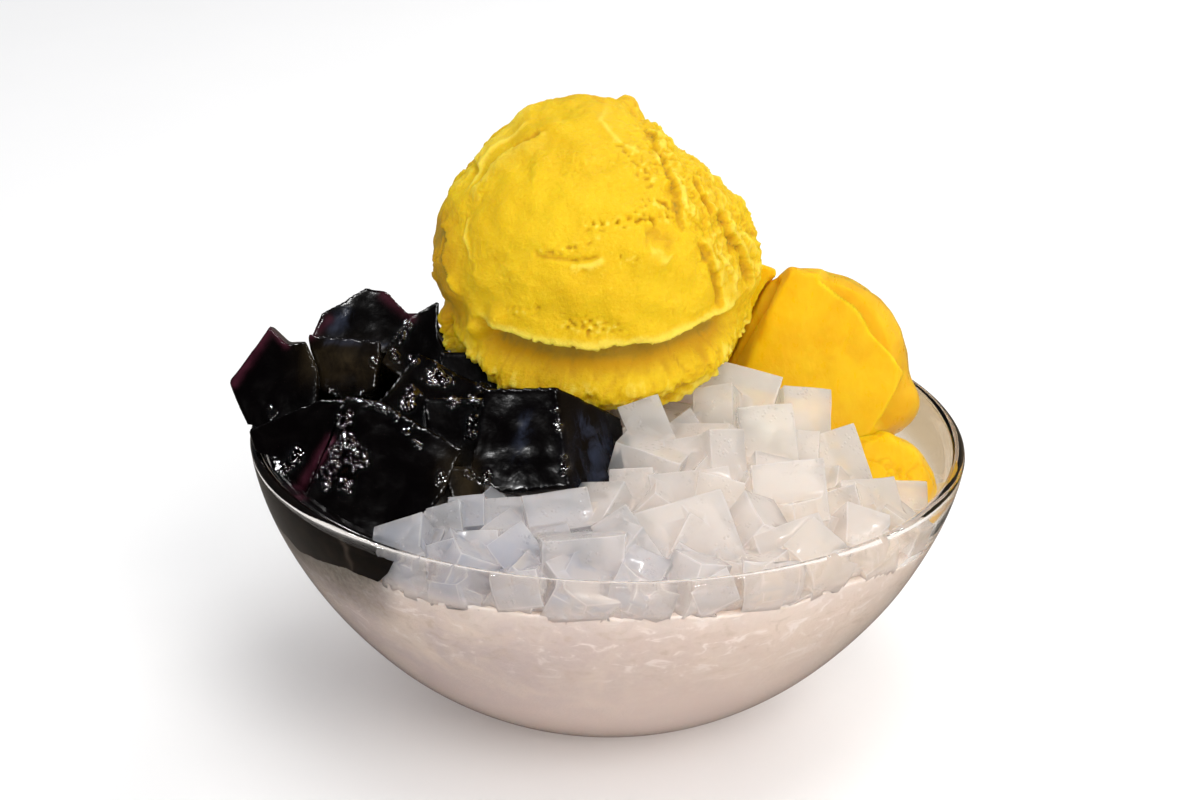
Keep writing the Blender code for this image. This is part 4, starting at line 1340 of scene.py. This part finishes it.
# Centre and radii in mm, facing, cuts (azimuth and elevation, distance in mm) and cells of the mesh
MANGO = {
    "cheek": ((44, 17, 66), (21, 22, 20), (-8, 30), (((-14, 26), 9), ((-80, 28), 15), ((0, -90), 12)), 84),
    "low": ((58, -3, 48), (12, 12, 10), (20, 45), (((5, 50), 8), ((0, -90), 7)), 44),
    "back": ((38, 43, 60), (17, 15, 13), (150, 30), (((150, 40), 9), ((0, -90), 11)), 52),
    "back_middle": ((8, 48, 62), (16, 13, 13), (185, 40), (((190, 45), 8), ((0, -90), 12)), 52),
}
# Bulges of the cheek: ways right, up and into the photograph, height in mm and width in radians
CHEEK_LUMPS = (((-0.31, 0.95, -0.2), 2.4, 0.16), ((0.93, -0.37, -0.1), 3.4, 0.30))
CUT_ROUNDING = 0.6 * MM


def make_mango():
    look = mango_look()
    for seed, (label, (centre, radii, facing, cuts, cells)) in enumerate(MANGO.items()):
        ways, faces = grid_ball(cells)
        turn = np.array(facing_matrix((0, 0, 0), *facing))[:3, :3]
        local = ways @ turn
        radius = 1 / np.linalg.norm(local / (np.array(radii) * MM), axis=1)
        if label == "cheek":
            for (right, up, into), height, spread in CHEEK_LUMPS:
                lump = (VIEW_RIGHT * right + VIEW_UP * up + VIEW_INTO * into).normalized()
                radius += height * MM * bell(angles_to(ways, lump) / spread)
        inverse = np.exp(-radius / CUT_ROUNDING)
        for way, distance in cuts:
            lean = ways @ np.array(direction(*way))
            cut = distance * MM / np.maximum(lean, 1e-3)
            inverse += np.where(lean > 0.02, np.exp(-np.minimum(cut, 1.0) / CUT_ROUNDING), 0)
        radius = -CUT_ROUNDING * np.log(inverse)
        points = ways * radius[:, None] + np.array(centre) * MM
        points += ways * (layered(points, 10 * MM, 3, 200 + seed) * 0.5 * MM)[:, None]
        shade = 0.6 * smooth(layered(points, 5 * MM, 3, 230 + seed), 0.1, 0.8)
        if label == "cheek":
            points, shade = cheek_edges(points, ways)
        if label == "low":
            torn = np.abs(layered(points @ np.diag((1.0, 1.0, 0.45)), 6 * MM, 3, 240))
            points -= ways * (0.3 * MM * np.clip(0.12 - torn, 0, 0.12) / 0.12)[:, None]
            points += ways * (layered(points, 7 * MM, 2, 243) * 0.7 * MM)[:, None]
            shade = np.clip(0.35 - 4 * torn, 0, 0.35)
        piece = mesh_object(f"mango_{label}_flesh", points, faces)
        set_values(piece, "shade", shade)
        dress(piece, look, "mango", f"mango_{label}")
    piece = remeshed("mango_slice", "mango_slice_flesh", 0.6 * MM, 6)
    points = points_of(piece)
    move_points(piece, points + normals_of(piece) * (layered(points, 8 * MM, 2, 260) * 0.4 * MM)[:, None])
    set_values(piece, "shade", np.zeros(len(points)))
    dress(piece, look, "mango", "mango_slice")


CHEEK_STEP = 1.6  # mm
# Edges of the cheek's cut face: points across and up the photograph from the bowl's rim centre, in mm
CHEEK_RIGHT_EDGE = ((43.6, 31.6), (48.8, 27.8), (53.1, 23.9), (55.6, 19.6), (59.9, 14.9), (62.5, 11.4),
                    (60.4, 7.1), (58.2, 2.8), (55.6, -0.7))
CHEEK_LEFT_EDGE = ((36.9, 31.5), (34.1, 25.2), (30.7, 20.0), (26.8, 12.7), (24.5, 8.0))


def cheek_edges(points, ways):
    """Steps back the skin side at the right and the shaded side at the left of the cheek's cut face."""
    places = photo_place(points) + 0.35 * ripple(points, 5 * MM, 281)[:, None]
    front = smooth(facing_camera(ways), -0.15, 0.1)
    change, shade = np.zeros(len(points)), np.zeros(len(points))
    for edge, outer, reach, dark in ((CHEEK_RIGHT_EDGE, 1, 4.0, 0.5), (CHEEK_LEFT_EDGE, -1, 7.0, 1.0)):
        distance, along, side = beside_flat_line(places, edge)
        ends = smooth(along, 0.0, 0.05) * smooth(1 - along, 0.0, 0.08)
        outside = side == outer
        step = np.where(outside, smooth(distance, 0.0, 0.45) * np.exp(-distance / reach), 0.0)
        lip = np.where(outside, 0.0, 0.18 * bell(distance - 0.5))
        change += (lip - CHEEK_STEP * step) * ends * front
        deep = bell(distance / 0.55) * 0.8
        shade += ends * front * np.where(outside, np.maximum(deep, dark * np.exp(-distance / 9.0)), 0.0)
    shade += 0.25 * smooth(layered(points, 6 * MM, 3, 231), 0.2, 0.8)
    return points + ways * (change * MM)[:, None], np.clip(shade, 0, 1)


def mango_look():
    look = Look("mango")
    clouds = look.noise(13, 3, 0.5, 0.4)
    fibres = look.noise(1.6, 4, 0.6, 0.3, stretch=(1.0, 0.25, 0.6))
    base = look.layers(
        look.mix(look.span(clouds, 0.3, 0.7), (0.80, 0.45, 0.005), (0.86, 0.54, 0.008)),
        (look.span(fibres, 0.4, 0.75, 0.0, 0.35), (0.90, 0.62, 0.02)),
        (look.times(look.value("shade"), 0.7), (0.62, 0.25, 0.002)),
    )
    look.set(Base_Color=base, Roughness=look.span(fibres, 0.3, 0.75, 0.26, 0.45), IOR=1.36)
    look.set(Subsurface_Weight=0.7, Subsurface_Scale=0.004, Subsurface_Radius=(1.0, 0.45, 0.08))
    look.set(Coat_Weight=0.25, Coat_Roughness=0.12)
    soft = look.bump(fibres, 0.25, 0.45)
    fine = look.bump(look.noise(0.7, 3, 0.6), 0.08, 0.5, soft)
    look.set(Normal=fine, Coat_Normal=fine)
    return look


# ---------------------------------------------------------------- studio


def lamp(name, place, target, size, power, colour=(1, 1, 1), shine=False):
    data = bpy.data.lights.new(name, "AREA")
    data.shape = "DISK"
    data.size = size
    data.energy = power
    data.color = colour
    thing = new_object(name, data)
    aim = (Vector(target) - Vector(place)).to_track_quat("-Z", "Y")
    thing.matrix_world = Matrix.Translation(Vector(place)) @ aim.to_matrix().to_4x4()
    thing.visible_glossy = shine
    thing.visible_camera = False
    return thing


def make_studio():
    floor = mesh_object("floor", [(-3, -3, 0), (3, -3, 0), (3, 3, 0), (-3, 3, 0)], [(0, 1, 2, 3)], False)
    look = Look("pale_floor")
    pale = look.mix(look.noise(40, 3, 0.5), (0.95, 0.95, 0.95), (0.97, 0.97, 0.97))
    look.set(Base_Color=look.mix(look.mirrored(), pale, (0.14, 0.125, 0.11)), Roughness=0.6)
    floor.data.materials.append(look.material)

    world = bpy.data.worlds.new("studio")
    world.use_nodes = True
    sky = Nodes(world.node_tree, "Generated")
    right = sky.across("X")
    card = sky.mix(sky.span(right, 0.05, 0.65, soft=False), (0.065, 0.068, 0.078), (0.46, 0.35, 0.22))
    back = world.node_tree.nodes["Background"]
    sky.link(sky.mix(sky.mirrored(), (0.70, 0.71, 0.73), card), back.inputs["Color"])
    sky.link(sky.span(right, -1.0, 1.0, 0.84, 1.16, soft=False), back.inputs["Strength"])
    bpy.context.scene.world = world

    target = (0, 0, 0.07)
    lamp("key", (0.34, -0.62, 0.68), target, 0.50, 3.3, (1.0, 0.97, 0.93))
    lamp("top", (0.05, -0.05, 0.85), target, 0.50, 1.7, (1.0, 0.99, 0.97))
    lamp("front_fill", (0.05, -0.90, 0.16), (0, 0, 0.06), 0.60, 1.7, (1.0, 0.97, 0.95))
    lamp("back_fill", (0.32, 0.66, 0.55), target, 0.45, 2.0, (1.0, 0.97, 0.93))
    make_sparks(target)


# Lamps that only show as glints: the start of the names of what they show on, their size in metres, their
# power in watts, and their azimuths and elevations
SPARKLING = (
    ("grass_jelly", 0.08, 6.0, ((-52, 62), (6, 38), (-30, 8), (62, 58), (150, 55), (-120, 45))),
    ("coconut_jelly_cubes", 0.012, 0.45,
     ((23, 35), (50, 65), (-30, 35), (0, 60), (75, 25), (-90, 80), (150, 55), (-130, 50))),
    ("glass_bowl", 0.06, 0.8, ((-52, 62), (6, 38), (62, 58), (-95, 48), (28, 14), (130, 40), (-150, 45))),
    ("mango_ice_cream", 0.10, 1.2, ((-35, 60), (25, 45), (75, 40), (150, 55))),
)
SPARK_DISTANCE = 0.85


def make_sparks(target):
    for start, size, power, ways in SPARKLING:
        wet = bpy.data.collections.new("wet_" + start)
        for thing in bpy.data.objects:
            if thing.name.startswith(start):
                wet.objects.link(thing)
        for index, way in enumerate(ways):
            place = direction(*way) * SPARK_DISTANCE + Vector(target)
            spark = lamp(f"spark_{start}_{index}", place, target, size, power, shine=True)
            spark.visible_diffuse = False
            spark.visible_transmission = False
            spark.light_linking.receiver_collection = wet


# ---------------------------------------------------------------- the scene

make_camera()
make_bowl()
make_ice()
make_cubes()
make_scoop()
make_grass_jelly()
make_mango()
make_studio()
bpy.context.scene.view_settings.view_transform = "Standard"
